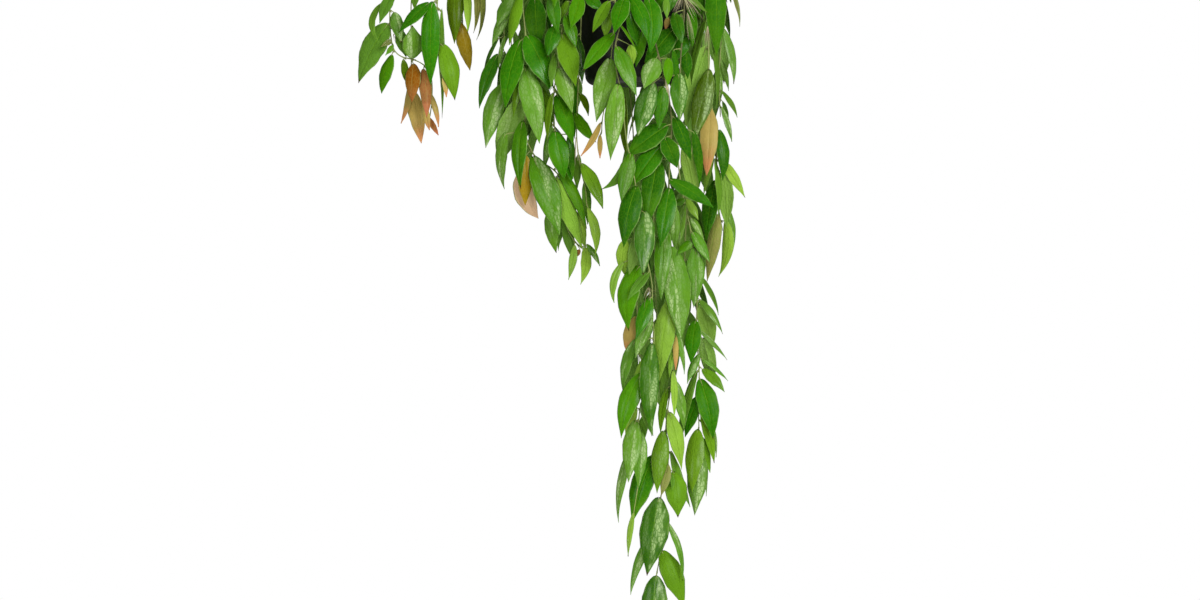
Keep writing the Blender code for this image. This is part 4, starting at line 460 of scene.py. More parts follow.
            (9.4, -0.8, 9.0, -4.2, 1.8, 0.8, 0, "d", 0),
            (10.0, -3.9, 7.9, -13.0, 1.8, -2.2, -30, "e", 0),
            (9.9, -8.2, 7.3, -18.6, 3.2, -0.9, 165, "l", -0.8),
            (10.2, -11.2, 8.1, -20.8, 2.8, -1.6, -10, "q", 0.3),
            (10.6, -6.0, 11.3, -16.4, 1.5, 0.8, 60, "e", 0.2),
            (10.4, -16.2, 9.9, -24.9, 2.5, -1.4, 0, "t", 0.2),
            (11.7, -19.0, 12.0, -25.5, 1.9, -0.8, 25, "d", 0.4),
            (10.8, -22.4, 9.6, -27.4, 1.3, 1.0, -50, "l", 0),
            (11.1, -22.8, 11.4, -30.2, 1.7, -0.9, 60, "e", 0),
            (12.0, -22.8, 15.0, -27.7, 1.5, -0.4, 15, "l", 0),
            (12.1, -24.4, 12.5, -31.6, 2.2, 0.8, 170, "y", 0.3),
            (11.1, -25.6, 9.8, -33.6, 2.4, -1.0, -10, "d", 0),
            (11.4, -30.0, 10.0, -38.6, 1.9, -0.8, -20, "n", 0.2),
            (12.5, -30.8, 11.5, -38.0, 1.6, 0.5, -15, "l", 1.6),
            (12.2, -28.2, 13.6, -34.2, 1.3, 0.6, 50, "s", 0.4),
        ],
        "fill": (0.04, 0.20, (2, 1), "m", 4, 13),
    },
    "shoot_right_5": {
        "path": [(4.6, 2.8, -1.5), (7.4, 2.6, 3.6), (10.8, 1.0, 3.4), (12.2, -0.6, -1.6),
                 (12.0, -1.6, -7), (11.7, -2.0, -12), (11.9, -2.0, -17)],
        "radius": 0.16,
        "leaves": [
            (13.0, 0.8, 14.6, -5.0, 0.9, 0.4, 40, "n", 0.3),
            (12.3, -5.4, 13.7, -12.7, 1.5, -0.4, 35, "e", 0.4),
            (12.0, -9.4, 13.1, -13.4, 1.1, 0.9, 35, "e", 0),
            (12.1, -13.6, 14.1, -17.1, 0.9, -0.4, 35, "e", 0.3),
            (12.2, -15.0, 13.0, -17.6, 0.9, 0.6, 40, "e", 0),
            (12.1, -15.8, 13.4, -20.3, 1.1, -0.2, 40, "s", 0),
            (11.6, -10.8, 11.3, -17.0, 1.8, 1.0, -20, "s", 0),
        ],
        "fill": (0.10, 0.50, (3, 4), "m", 7, 12.8),
    },
    "shoot_right_6": {
        "path": [(2.4, 1.6, -1.5), (5.2, 2.4, 4.2), (8.2, 3.6, 3.4), (9.6, 4.4, -2), (9.4, 4.0, -9),
                 (8.6, 2.2, -17), (7.8, 0.2, -26), (7.2, -1.6, -35), (7.2, -2.8, -44)],
        "radius": 0.19,
        "leaves": [],
        "fill": (0.08, 1.0, (14, 16), "m", 2.5, 11.6),
    },
    "shoot_right_7": {
        "path": [(1.0, 4.2, -1.5), (2.4, 7.0, 3.6), (3.6, 9.4, 1.4), (4.0, 9.8, -5), (3.8, 8.4, -13),
                 (3.4, 5.2, -22), (3.2, 2.0, -31), (3.4, -0.8, -40), (3.8, -3.0, -49)],
        "radius": 0.19,
        "leaves": [],
        "fill": (0.08, 1.0, (15, 16), "m", -1.2, 8),
    },
    "shoot_right_8": {
        "path": [(-0.6, 2.6, -1.5), (-1.0, 6.4, 4.6), (-1.4, 9.6, 2.2), (-1.2, 10.2, -4),
                 (0.0, 8.4, -12), (0.6, 5.4, -20), (0.8, 1.6, -28), (0.8, -2.4, -36),
                 (1.0, -5.0, -44), (1.2, -6.6, -50)],
        "radius": 0.18,
        "leaves": [],
        "fill": (0.08, 1.0, (14, 16), "m", -1.4, 6),
    },
    "shoot_right_9": {
        "path": [(3.2, -3.4, -1.5), (5.2, -6.0, 1.8), (7.0, -6.2, -1.4), (7.6, -5.8, -5),
                 (7.5, -5.6, -9)],
        "radius": 0.13,
        "leaves": [
            (7.5, -6.4, 5.4, -10.2, 2.1, -0.8, -10, "d", 0),
            (7.2, -8.6, 7.5, -12.3, 1.6, -0.6, 10, "d", 0),
            (7.9, -3.0, 8.1, -8.2, 1.6, -0.6, 10, "m", 0),
        ],
        "fill": (0.20, 0.50, (1, 0), "m", 3, 10),
    },
    "shoot_top_1": {
        "path": [(0.8, 0.4, -1.5), (1.4, 0.6, 6), (3.6, 0.8, 12.5), (6.8, 1.0, 14.5)],
        "radius": 0.18, "leaves": [], "fill": (0.22, 1.0, (6, 8), "m", -3, 12),
    },
    "shoot_top_2": {
        "path": [(-0.8, -0.4, -1.5), (-1.0, -1.2, 7), (-0.6, -3.4, 13.4), (0.2, -6.2, 14.6)],
        "radius": 0.18, "leaves": [], "fill": (0.22, 1.0, (6, 8), "g", -6, 6),
    },
    "shoot_top_3": {
        "path": [(0.6, 3.0, -1.5), (2.2, 5.6, 6), (3.6, 8.8, 8.4), (4.4, 12.2, 6.4), (4.6, 13.6, 1)],
        "radius": 0.18, "leaves": [], "fill": (0.20, 1.0, (7, 8), "m", 0, 9),
    },
    "shoot_top_4": {
        "path": [(-2.2, 4.2, -1.5), (-4.2, 7.2, 5), (-6.6, 10.4, 6), (-8.4, 12.4, 1.6), (-9, 12.6, -5)],
        "radius": 0.18, "leaves": [], "fill": (0.18, 1.0, (8, 8), "g", -12, -3),
    },
    "shoot_top_5": {
        "path": [(3.0, 3.2, -1.5), (5.8, 5.2, 5.4), (9, 6.8, 6.2), (11, 7.2, 1.4), (11.4, 7.0, -5)],
        "radius": 0.18, "leaves": [], "fill": (0.18, 1.0, (7, 8), "m", 5, 14),
    },
}


# ---------------------------------------------------------------- layout: curves and leaf placing
def catmull_rom(points, step=0.5):
    """A smooth curve through the points, with a sample about every `step`."""
    pts = [Vector(p) for p in points]
    pts = [2 * pts[0] - pts[1]] + pts + [2 * pts[-1] - pts[-2]]
    curve = []
    for i in range(1, len(pts) - 2):
        a, b, c, d = pts[i - 1 : i + 3]
        square, cube = 2 * a - 5 * b + 4 * c - d, 3 * b - a - 3 * c + d
        count = max(2, round((c - b).length / step))
        for k in range(count):
            t = k / count
            curve.append(0.5 * (2 * b + (c - a) * t + square * t * t + cube * t**3))
    curve.append(pts[-2])
    return curve


def around(count):
    """Angles evenly round a circle."""
    return [math.tau * k / count for k in range(count)]


def polar(angle, radius=1.0, z=0.0):
    """A place at an angle round the upright axis."""
    return Vector((math.cos(angle) * radius, math.sin(angle) * radius, z))


def ring_faces(rings, count):
    """The quads between rings of `count` points that follow each other."""
    quads = []
    for i in range(rings - 1):
        a, b = count * i, count * (i + 1)
        quads += [(a + k, a + (k + 1) % count, b + (k + 1) % count, b + k) for k in range(count)]
    return quads


def end_faces(total, count):
    """The flat ends of a run of rings, each with `count` points of the `total`."""
    return [tuple(reversed(range(count))), tuple(range(total - count, total))]


def tube_rings(points, radii, sides):
    """Rings round a line, carried along it without a twist."""
    rings, side = [], None
    for i, (p, r) in enumerate(zip(points, radii)):
        along = (points[min(i + 1, len(points) - 1)] - points[max(i - 1, 0)]).normalized()
        side = along.orthogonal() if side is None else side
        side = (side - along * side.dot(along)).normalized()
        other = along.cross(side)
        rings += [p + (side * math.cos(a) + other * math.sin(a)) * r for a in around(sides)]
    return rings


def tube_skin(points, radii, sides=6):
    """A plain open tube for the clearance test."""
    return tube_rings(points, radii, sides), ring_faces(len(points), sides)


def span(points):
    """The lowest and the highest corner of the points' box."""
    return [min(p[i] for p in points) for i in range(3)], [max(p[i] for p in points) for i in range(3)]


class Spine:
    """The middle line of a stem, measured along its length."""

    def __init__(self, points, base_radius):
        self.points = catmull_rom(points)
        self.at = [0.0]
        for a, b in zip(self.points, self.points[1:]):
            self.at.append(self.at[-1] + (b - a).length)
        self.length = self.at[-1]
        self.base_radius = base_radius

    def locate(self, s):
        """The line's point before s, and the share of the way from it to the next."""
        s = min(max(s, 0.0), self.length)
        low = min(bisect_right(self.at, s) - 1, len(self.at) - 2)
        share = (s - self.at[low]) / max(1e-9, self.at[low + 1] - self.at[low])
        return low, share

    def point(self, s):
        low, share = self.locate(s)
        return self.points[low].lerp(self.points[low + 1], share)

    def tangent(self, s):
        return (self.point(s + TANGENT_REACH) - self.point(s - TANGENT_REACH)).normalized()

    def radius(self, s):
        return TIP_STEM + (self.base_radius - TIP_STEM) * (1 - s / self.length) ** STEM_TAPER

    def nearest(self, x, z):
        """The place on the hanging stretch of the stem nearest to (x, z) as seen from the front."""
        top = max(range(len(self.points)), key=lambda i: self.points[i].z)
        hanging = range(top, len(self.points))
        best = min(hanging, key=lambda i: math.hypot(self.points[i].x - x, self.points[i].z - z))
        return self.at[best]


class Leaf:
    """One leaf: where its stalk leaves the stem, its blade's middle line and how it faces."""

    def __init__(self, start, tip, width, face, tone, bow, node):
        self.start = start
        self.tip = tip
        self.width = width
        self.tone = tone
        self.node = node
        chord = tip - start
        self.length = chord.length
        along = chord.normalized()
        look = Vector((math.sin(math.radians(face)), -math.cos(math.radians(face)), LOOK_UP))
        self.up = (look - along * look.dot(along)).normalized()
        sideways = Vector((1, 0, 0)) - along * along.x
        arch = BLADE_ARCH * self.length
        self.middle = (start + tip) / 2 + self.up * arch + sideways * bow

    def point(self, t):
        return self.start * (1 - t) ** 2 + self.middle * 2 * t * (1 - t) + self.tip * t * t

    def frame(self, t):
        """Across, upper side and along, at a share t of the blade."""
        along = ((self.middle - self.start) * (1 - t) + (self.tip - self.middle) * t).normalized()
        up = (self.up - along * self.up.dot(along)).normalized()
        return up.cross(along).normalized(), up, along

    def half_width(self, t):
        """Rounded at the base, widest before the middle, drawn out to a point."""
        if t < WIDEST:
            share = math.sqrt(max(0.0, 1 - (1 - t / WIDEST) ** 2))
        else:
            u = (t - WIDEST) / (1 - WIDEST)
            share = (1 - u**TIP_POWER) * (1 - TIP_NARROW * u)
        return max(LEAST_HALF, self.width / 2 * share)


def room_round(leaf, first):
    """The closed skin that a blade needs to itself, from a share `first` of it to its tip."""
    points = []
    stations = [first + (1.0 - first) * k / (ROOM_STATIONS - 1) for k in range(ROOM_STATIONS)]
    for t in stations:
        across, up, along = leaf.frame(t)
        w = leaf.half_width(t) + CLEAR / 2
        h = LEAF_THICK + CLEAR
        centre = leaf.point(t) + (along * TIP_ROOM if t == 1.0 else Vector())
        points += [centre + across * w, centre + up * h, centre - across * w, centre - up * h]
    return points, ring_faces(len(stations), 4) + end_faces(len(points), 4)


class Room:
    """What is already placed, for the clearance test."""

    def __init__(self, names):
        self.items = []
        self.placed = {name: [] for name in names}

    def add(self, skin, owner, kind):
        low, high = span(skin[0])
        self.items.append((BVHTree.FromPolygons(*skin), low, high, owner, kind))

    def meets(self, skin, skip_stem_of=None, only_stem_of=None):
        """Whether the skin cuts anything placed; one shoot's stem can be left out, or be all that counts."""
        low, high = span(skin[0])
        tree = None
        for other, other_low, other_high, owner, kind in self.items:
            if any(low[i] > other_high[i] or high[i] < other_low[i] for i in range(3)):
                continue
            if skip_stem_of == owner and kind == "stem":
                continue
            if only_stem_of is not None and not (owner == only_stem_of and kind == "stem"):
                continue
            if tree is None:
                tree = BVHTree.FromPolygons(*skin)
            if tree.overlap(other):
                return True
        return False

    def accept(self, name, leaf):
        """Places the leaf if nothing is in its way."""
        full = room_round(leaf, 0.0)
        if self.meets(full, skip_stem_of=name):
            return False
        if self.meets(room_round(leaf, OWN_STEM), only_stem_of=name):
            return False
        self.add(full, name, "leaf")
        self.placed[name].append(leaf)
        return True


def hand_leaf(spine, row, lean_more, turn, shrink, slide):
    """A leaf from a row of the layout, with the small changes that clear its neighbours."""
    x0, z0, x1, z1, width, toward, face, tone, bow = row
    z0 += slide
    node = spine.nearest(x0, z0 + STALK_RISE)
    root = spine.point(node)
    dx, dz = x0 - root.x, z0 - root.z
    depth = math.sqrt(max(0.0, STALK_OFFSET**2 - dx * dx - dz * dz))
    if dx * (x1 - root.x) <= 0 or abs(x1 - root.x) < CROSSING:
        depth = max(depth, STALK_OFFSET)  # the blade crosses its own stem, so it starts well in front
    faces_front = math.cos(math.radians(face)) > 0  # one that faces back starts on the other side
    front = -1 if faces_front == (toward <= LEANS_BACK) else 1
    start = Vector((x0, root.y + front * depth, z0))
    tip = Vector((x1, start.y + toward + lean_more, z1))
    tip = start + (tip - start) * shrink
    return Leaf(start, tip, width * shrink, face + turn, tone, bow, node)


def fill_leaf(spine, node, azimuth, lean, length, tone, ratio):
    """A leaf of the layout's fill: it hangs out from the stem at the azimuth and droops."""
    root = spine.point(node)
    out = Vector((math.sin(azimuth), -math.cos(azimuth), 0))
    along = spine.tangent(node)
    side = (out - along * out.dot(along)).normalized()
    start = root + side * FILL_OFFSET + FILL_DROP
    tip = start + (out * math.sin(lean) - Vector((0, 0, 1)) * math.cos(lean)) * length
    face = math.degrees(azimuth)
    return Leaf(start, tip, length * ratio, face, tone, 0, node)


# The changes that a leaf may take to clear its neighbours, the smallest first.
HAND_TRIES = [
    (lean, turn, shrink, slide)
    for shrink in (1.0, 0.9, 0.8)
    for slide in (0.0, 0.4, -0.4)
    for lean, turn in (
        (0, 0), (-0.7, 0), (0.7, 0), (0, 14), (0, -14), (-1.4, 0), (1.4, 0), (-0.7, 14), (0.7, -14),
        (-2.1, 0), (2.1, 0), (-1.4, -14), (1.4, 14), (-2.8, 0), (2.8, 0), (-3.6, 10), (3.6, -10),
        (0, 28), (0, -28), (-4.4, 0), (4.4, 0), (-1.4, 28), (1.4, -28),
    )
]
FILL_TRIES = [
    (turn, lean, shrink)
    for shrink in (1.0, 0.85, 0.7)
    for turn in (0, 0.5, -0.5, 1.0, -1.0, 1.6, -1.6, 2.3, -2.3, math.pi)
    for lean in (0, 0.25, -0.2)
]


def stem_spacing(leaves, length):
    """Spreads the leaf nodes so that each has its own short stretch of stem."""
    leaves.sort(key=lambda leaf: leaf.node)
    for _ in range(SPACING_ROUNDS):
        for a, b in zip(leaves, leaves[1:]):
            lack = NODE_STEP - (b.node - a.node)
            if lack > 0:
                a.node -= lack / 2
                b.node += lack / 2
    last = BARE_END
    for leaf in leaves:
        leaf.node = max(leaf.node, last + NODE_STEP)
        last = leaf.node
    limit = length - LAST_NODE
    for leaf in reversed(leaves):
        leaf.node = min(leaf.node, limit)
        limit = leaf.node - NODE_STEP


def rank(row):
    """Large leaves are placed first."""
    return ((row[0] - row[2]) ** 2 + (row[1] - row[3]) ** 2) * row[4]


def place_leaves():
    """Every shoot's spine and leaves, each leaf clear of what was placed before it."""
    spines = {name: Spine(shoot["path"], shoot["radius"]) for name, shoot in SHOOTS.items()}
    room = Room(SHOOTS)
    for name, spine in spines.items():
        room.add(tube_skin(spine.points, [spine.radius(s) + CLEAR for s in spine.at]), name, "stem")
    for skin in fixed_skins():
        room.add(skin, "holder", "solid")

    rows = [(name, row) for name, shoot in SHOOTS.items() for row in shoot["leaves"]]
    rows.sort(key=lambda item: rank(item[1]), reverse=True)
    for name, row in rows:
        for change in HAND_TRIES:
            if room.accept(name, hand_leaf(spines[name], row, *change)):
                break

    chance = random.Random(FILL_SEED)
    for name, spine in spines.items():
        fill_shoot(room, name, spine, chance, beyond=False)
    return spines, room


def fill_shoot(room, name, spine, chance, beyond):
    """Adds the fill leaves of a shoot's solid, or those beyond it, each turned until it finds room."""
    begin, end, (within, past), tone, least, greatest = SHOOTS[name]["fill"]
    count = past if beyond else within
    if not count:
        return
    azimuth = chance.uniform(0, math.tau)
    for k in range(count):
        node = min(spine.length * (begin + (end - begin) * (k + 0.5) / count), spine.length - BARE_END)
        azimuth += GOLDEN_ANGLE
        length = chance.uniform(*FILL_LENGTH)
        lean = chance.uniform(*FILL_LEAN)
        ratio = chance.uniform(*FILL_RATIO)
        for turn, rise, shrink in FILL_TRIES:
            leaf = fill_leaf(spine, node, azimuth + turn, lean + rise, length * shrink, tone, ratio)
            widest = leaf.point(WIDEST).x
            low_x = min(leaf.tip.x, widest - leaf.width / 2)
            high_x = max(leaf.tip.x, widest + leaf.width / 2)
            hangs = leaf.tip.z < FILL_LOW
            if hangs and (low_x < least or high_x > greatest or leaf.tip.y < leaf.start.y):
                continue
            if room.accept(name, leaf):
                break


def strap_line(angle):
    """The middle line of one strap, from the boss down to the rim, as points in metres."""
    a = math.radians(angle)
    run = [
        (BOSS_RADIUS * 0.6, BOSS_Z),
        (BOSS_RADIUS + 0.006, BOSS_Z - 0.008),
        (BOSS_RADIUS + 0.016, BOSS_Z - 0.034),
        (RIM_RADIUS * 0.62, (BOSS_Z + RIM_Z) * 0.5),
        (RIM_RADIUS - 0.004, RIM_Z + 0.028),
        (RIM_RADIUS + STRAP_THICK * 0.5 + FIT_GAP, RIM_Z + 0.004),
        (RIM_RADIUS + STRAP_THICK * 0.5 + FIT_GAP, RIM_Z - RIM_BAND_HEIGHT - 0.005),
    ]
    return [polar(a, r, z) for r, z in run]


def hook_line():
    """The middle line of the hook's bar: up from the boss, over the rail and down the other side."""
    reach = HOOK_INNER + HOOK_BAR
    bend = [
        Vector((math.cos(a) * reach, 0, -HOOK_INNER + math.sin(a) * reach))
        for a in (math.radians(d) for d in range(-30, 206, 16))
    ]
    return [Vector((0, 0, BOSS_Z)), Vector((0.0015, 0, BOSS_Z + 0.008))] + bend


def fixed_skins():
    """The pot with its mix, and the straps, in the layout's centimetres."""
    outline = [
        (0.0, -POT_HEIGHT),
        (POT_BASE_RADIUS - 0.006, -POT_HEIGHT),
        (POT_BASE_RADIUS, -POT_HEIGHT + POT_CORNER),
        (POT_WALL_TOP_RADIUS, -RIM_BAND_HEIGHT),
        (RIM_RADIUS + 0.001, -RIM_BAND_HEIGHT),
        (RIM_RADIUS + 0.001, 0.001),
        (RIM_RADIUS - 0.004, 0.001),
        (0.0, SOIL_TOP - RIM_Z + 0.002),
    ]
    sides = 24
    points = [polar(a, r / CM, z / CM) for r, z in outline for a in around(sides)]
    skins = [(points, ring_faces(len(outline), sides))]
    for angle in STRAP_ANGLES:
        line = [Vector((p.x / CM, p.y / CM, (p.z - RIM_Z) / CM)) for p in strap_line(angle)]
        skins.append(tube_skin(line, [STRAP_ROOM] * len(line)))
    return skins


# ---------------------------------------------------------------- looks
LEAF_COLOURS = {
    "d": (0.020, 0.120, 0.002),  # deep green
    "m": (0.025, 0.150, 0.001),  # middle green
    "g": (0.051, 0.190, 0.001),  # grass green
    "y": (0.110, 0.245, 0.008),  # yellow green
    "l": (0.225, 0.400, 0.042),  # lime, lit through
    "s": (0.088, 0.230, 0.014),  # green under a painted whitish sheen
    "h": (0.023, 0.112, 0.002),  # deep green under the painted sheen
    "q": (0.058, 0.112, 0.001),  # olive under the painted sheen
    "e": (0.085, 0.200, 0.018),  # dull green
    "o": (0.062, 0.120, 0.001),  # olive
    "k": (0.010, 0.055, 0.003),  # nearly black green: painted shade, for leaves deep in shadow
    "n": (0.200, 0.205, 0.055),  # greyish olive
    "a": (0.255, 0.165, 0.004),  # amber
    "t": (0.420, 0.300, 0.080),  # tan
    "b": (0.180, 0.062, 0.002),  # copper brown
    "r": (0.290, 0.105, 0.032),  # brick red
    "p": (0.820, 0.570, 0.400),  # pale pink
}
YOUNG_FLUSH = {"a": 0.0, "b": 0.2, "p": 0.3, "r": 0.5, "t": 0.6}  # young tones: how pink the tip is
PAINTED_SHEEN = {"s": 1.0, "h": 0.8, "q": 0.8}  # tones with a full painted sheen: its strength
ONE_SIDED = "hq"  # tones whose painted sheen is always on the right half of the blade, where the key light falls
# Tones that get no painted sheen.
NO_PAINTED_SHEEN = "dk"
# The whitish colour of the sheen painted into the leaves; the pale margin takes half of it.
PAINTED_SHEEN_COLOUR = (0.310, 0.450, 0.180, 1.0)
FLUSH_COLOUR = (0.560, 0.170, 0.090, 1.0)
AMBIENT = 0.50  # strength of the light from all round
GLOSS_AMBIENT = 0.06  # and its strength in reflections
# Lights: name, place, size, power, tint.
LIGHTS = (
    ("key light", (2.3, -2.9, 0.8), 1.5, 92, (1.0, 0.99, 0.93)),
    ("front light", (0.9, -4.0, 0.5), 1.0, 48, (1.0, 1.0, 0.93)),
    ("fill light", (-2.2, -3.0, -0.1), 1.3, 26, (1.0, 1.0, 0.94)),
    ("top light", (0.2, 1.2, 1.4), 1.4, 30, (1.0, 1.0, 1.0)),
)
AMBIENT_TINT = (1.0, 1.0, 0.92, 1.0)
# Dead twigs by shoot: (root, where they reach, how many, spread, thickness), in layout centimetres.
DEAD_TWIGS = {
    "shoot_left_1": (((-30.9, -3.4, -6.2), (-30.0, -3.7, -7.6), 7, 0.5, 0.030),),
    "shoot_right_1": (((4.5, -12.0, -12.2), (4.9, -12.2, -16.2), 12, 0.25, 0.05),),
    "shoot_right_2": (
        ((6.7, -10.6, -1.6), (8.8, -11.2, -5.0), 20, 0.8, 0.026),
        ((6.7, -10.6, -1.6), (5.8, -11.2, -4.2), 9, 0.5, 0.024),
        ((7.3, -10.8, -4.0), (7.9, -11.2, -8.2), 10, 0.5, 0.024),
    ),
    "shoot_right_3": (((2.3, -13.2, -39.4), (2.4, -13.6, -41.8), 7, 0.8, 0.035),),
    "shoot_right_4": (((10.1, -6.4, -5.4), (10.0, -7.2, -8.6), 12, 0.4, 0.028),),
    "shoot_middle_5": (((-7.0, -9.2, -20.0), (-6.9, -9.4, -24.0), 5, 0.3, 0.04),),
}


# ---------------------------------------------------------------- places in the frame
mix_low, mix_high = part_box("potting_mix")


def metres(p):
    """A place of the layout, in the frame's metres."""
    return (p[0] * CM, p[1] * CM, RIM_Z + p[2] * CM)


# ---------------------------------------------------------------- node helpers
class Nodes:
    """Short calls for building a node tree."""

    def __init__(self, tree):
        self.tree = tree

    def add(self, kind, *values, **settings):
        """A new node with these settings, the values fed to its first sockets."""
        node = self.tree.nodes.new(kind)
        for key, value in settings.items():
            setattr(node, key, value)
        for socket, value in zip(node.inputs, values):
            self.feed(socket, value)
        return node

    def feed(self, socket, value):
        """Links or sets the socket; None leaves it as it is."""
        if isinstance(value, bpy.types.NodeSocket):
            self.tree.links.new(value, socket)
        elif value is not None:
            socket.default_value = value

    def math(self, operation, a, b=None, c=None, clamp=False):
        return self.add("ShaderNodeMath", a, b, c, operation=operation, use_clamp=clamp).outputs[0]

    def times(self, a, b, plus=None, clamp=False):
        """a times b, and plus the third value where there is one."""
        operation = "MULTIPLY" if plus is None else "MULTIPLY_ADD"
        return self.math(operation, a, b, plus, clamp)

    def step(self, value, low, high, out_low=0.0, out_high=1.0):
        """A smooth change from out_low to out_high while the value goes from low to high."""
        ends = (low, high, out_low, out_high)
        return self.add("ShaderNodeMapRange", value, *ends, interpolation_type="SMOOTHSTEP").outputs[0]

    def mix(self, share, a, b, blend="MIX"):
        node = self.add("ShaderNodeMix", data_type="RGBA", blend_type=blend)
        self.feed(node.inputs[0], share)
        self.feed(node.inputs[6], a)
        self.feed(node.inputs[7], b)
        return node.outputs[2]

    def attribute(self, name, output="Vector"):
        return self.add("ShaderNodeAttribute", attribute_name=name).outputs[output]

    def parts(self, vector):
        return self.add("ShaderNodeSeparateXYZ", vector).outputs

    def vector(self, x, y, z):
        return self.add("ShaderNodeCombineXYZ", x, y, z).outputs[0]

    def noise(self, vector, scale, detail=3.0, rough=0.5):
        node = self.add("ShaderNodeTexNoise")
        self.feed(node.inputs["Vector"], vector)
        node.inputs["Scale"].default_value = scale
        node.inputs["Detail"].default_value = detail
        node.inputs["Roughness"].default_value = rough
        return node.outputs["Fac"]

    def voronoi(self, vector, scale, feature="F1"):
        node = self.add("ShaderNodeTexVoronoi", feature=feature)
        self.feed(node.inputs["Vector"], vector)
        node.inputs["Scale"].default_value = scale
        return node.outputs["Distance"]

    def place(self, vector, scale):
        node = self.add("ShaderNodeMapping")
        self.feed(node.inputs["Vector"], vector)
        node.inputs["Scale"].default_value = scale
        return node.outputs[0]

    def bump(self, height, distance):
        node = self.add("ShaderNodeBump")
        node.inputs["Distance"].default_value = distance
        self.feed(node.inputs["Height"], height)
        return node.outputs[0]


def start_group(name, inputs, outputs):
    """A shader node group with its sockets; gives the tree, the helper and the two end nodes."""
    tree = bpy.data.node_groups.new(name, "ShaderNodeTree")
    for label, kind in inputs:
        tree.interface.new_socket(label, in_out="INPUT", socket_type=kind)
    for label, kind in outputs:
        tree.interface.new_socket(label, in_out="OUTPUT", socket_type=kind)
    nodes = Nodes(tree)
    return tree, nodes, nodes.add("NodeGroupInput").outputs, nodes.add("NodeGroupOutput").inputs


def use_group(nodes, tree, **values):
    """Places a group with its own values; an underscore stands for a space in a socket's name."""
    node = nodes.add("ShaderNodeGroup", node_tree=tree)
    for label, value in values.items():
        nodes.feed(node.inputs[label.replace("_", " ")], value)
    return node.outputs


def start_material(name, roughness, ior=1.45, coat=0.0, coat_roughness=0.3, specular=0.5):
    """A new material, with a helper for its nodes and the sockets of its shader."""
    made = bpy.data.materials.new(name)
    made.use_nodes = True
    shader = made.node_tree.nodes["Principled BSDF"]
    shader.inputs["Roughness"].default_value = roughness
    shader.inputs["IOR"].default_value = ior
    shader.inputs["Specular IOR Level"].default_value = specular
    shader.inputs["Coat Weight"].default_value = coat
    shader.inputs["Coat Roughness"].default_value = coat_roughness
    return made, Nodes(made.node_tree), shader.inputs


# ---------------------------------------------------------------- node groups
FLOAT, COLOUR, VECTOR = "NodeSocketFloat", "NodeSocketColor", "NodeSocketVector"


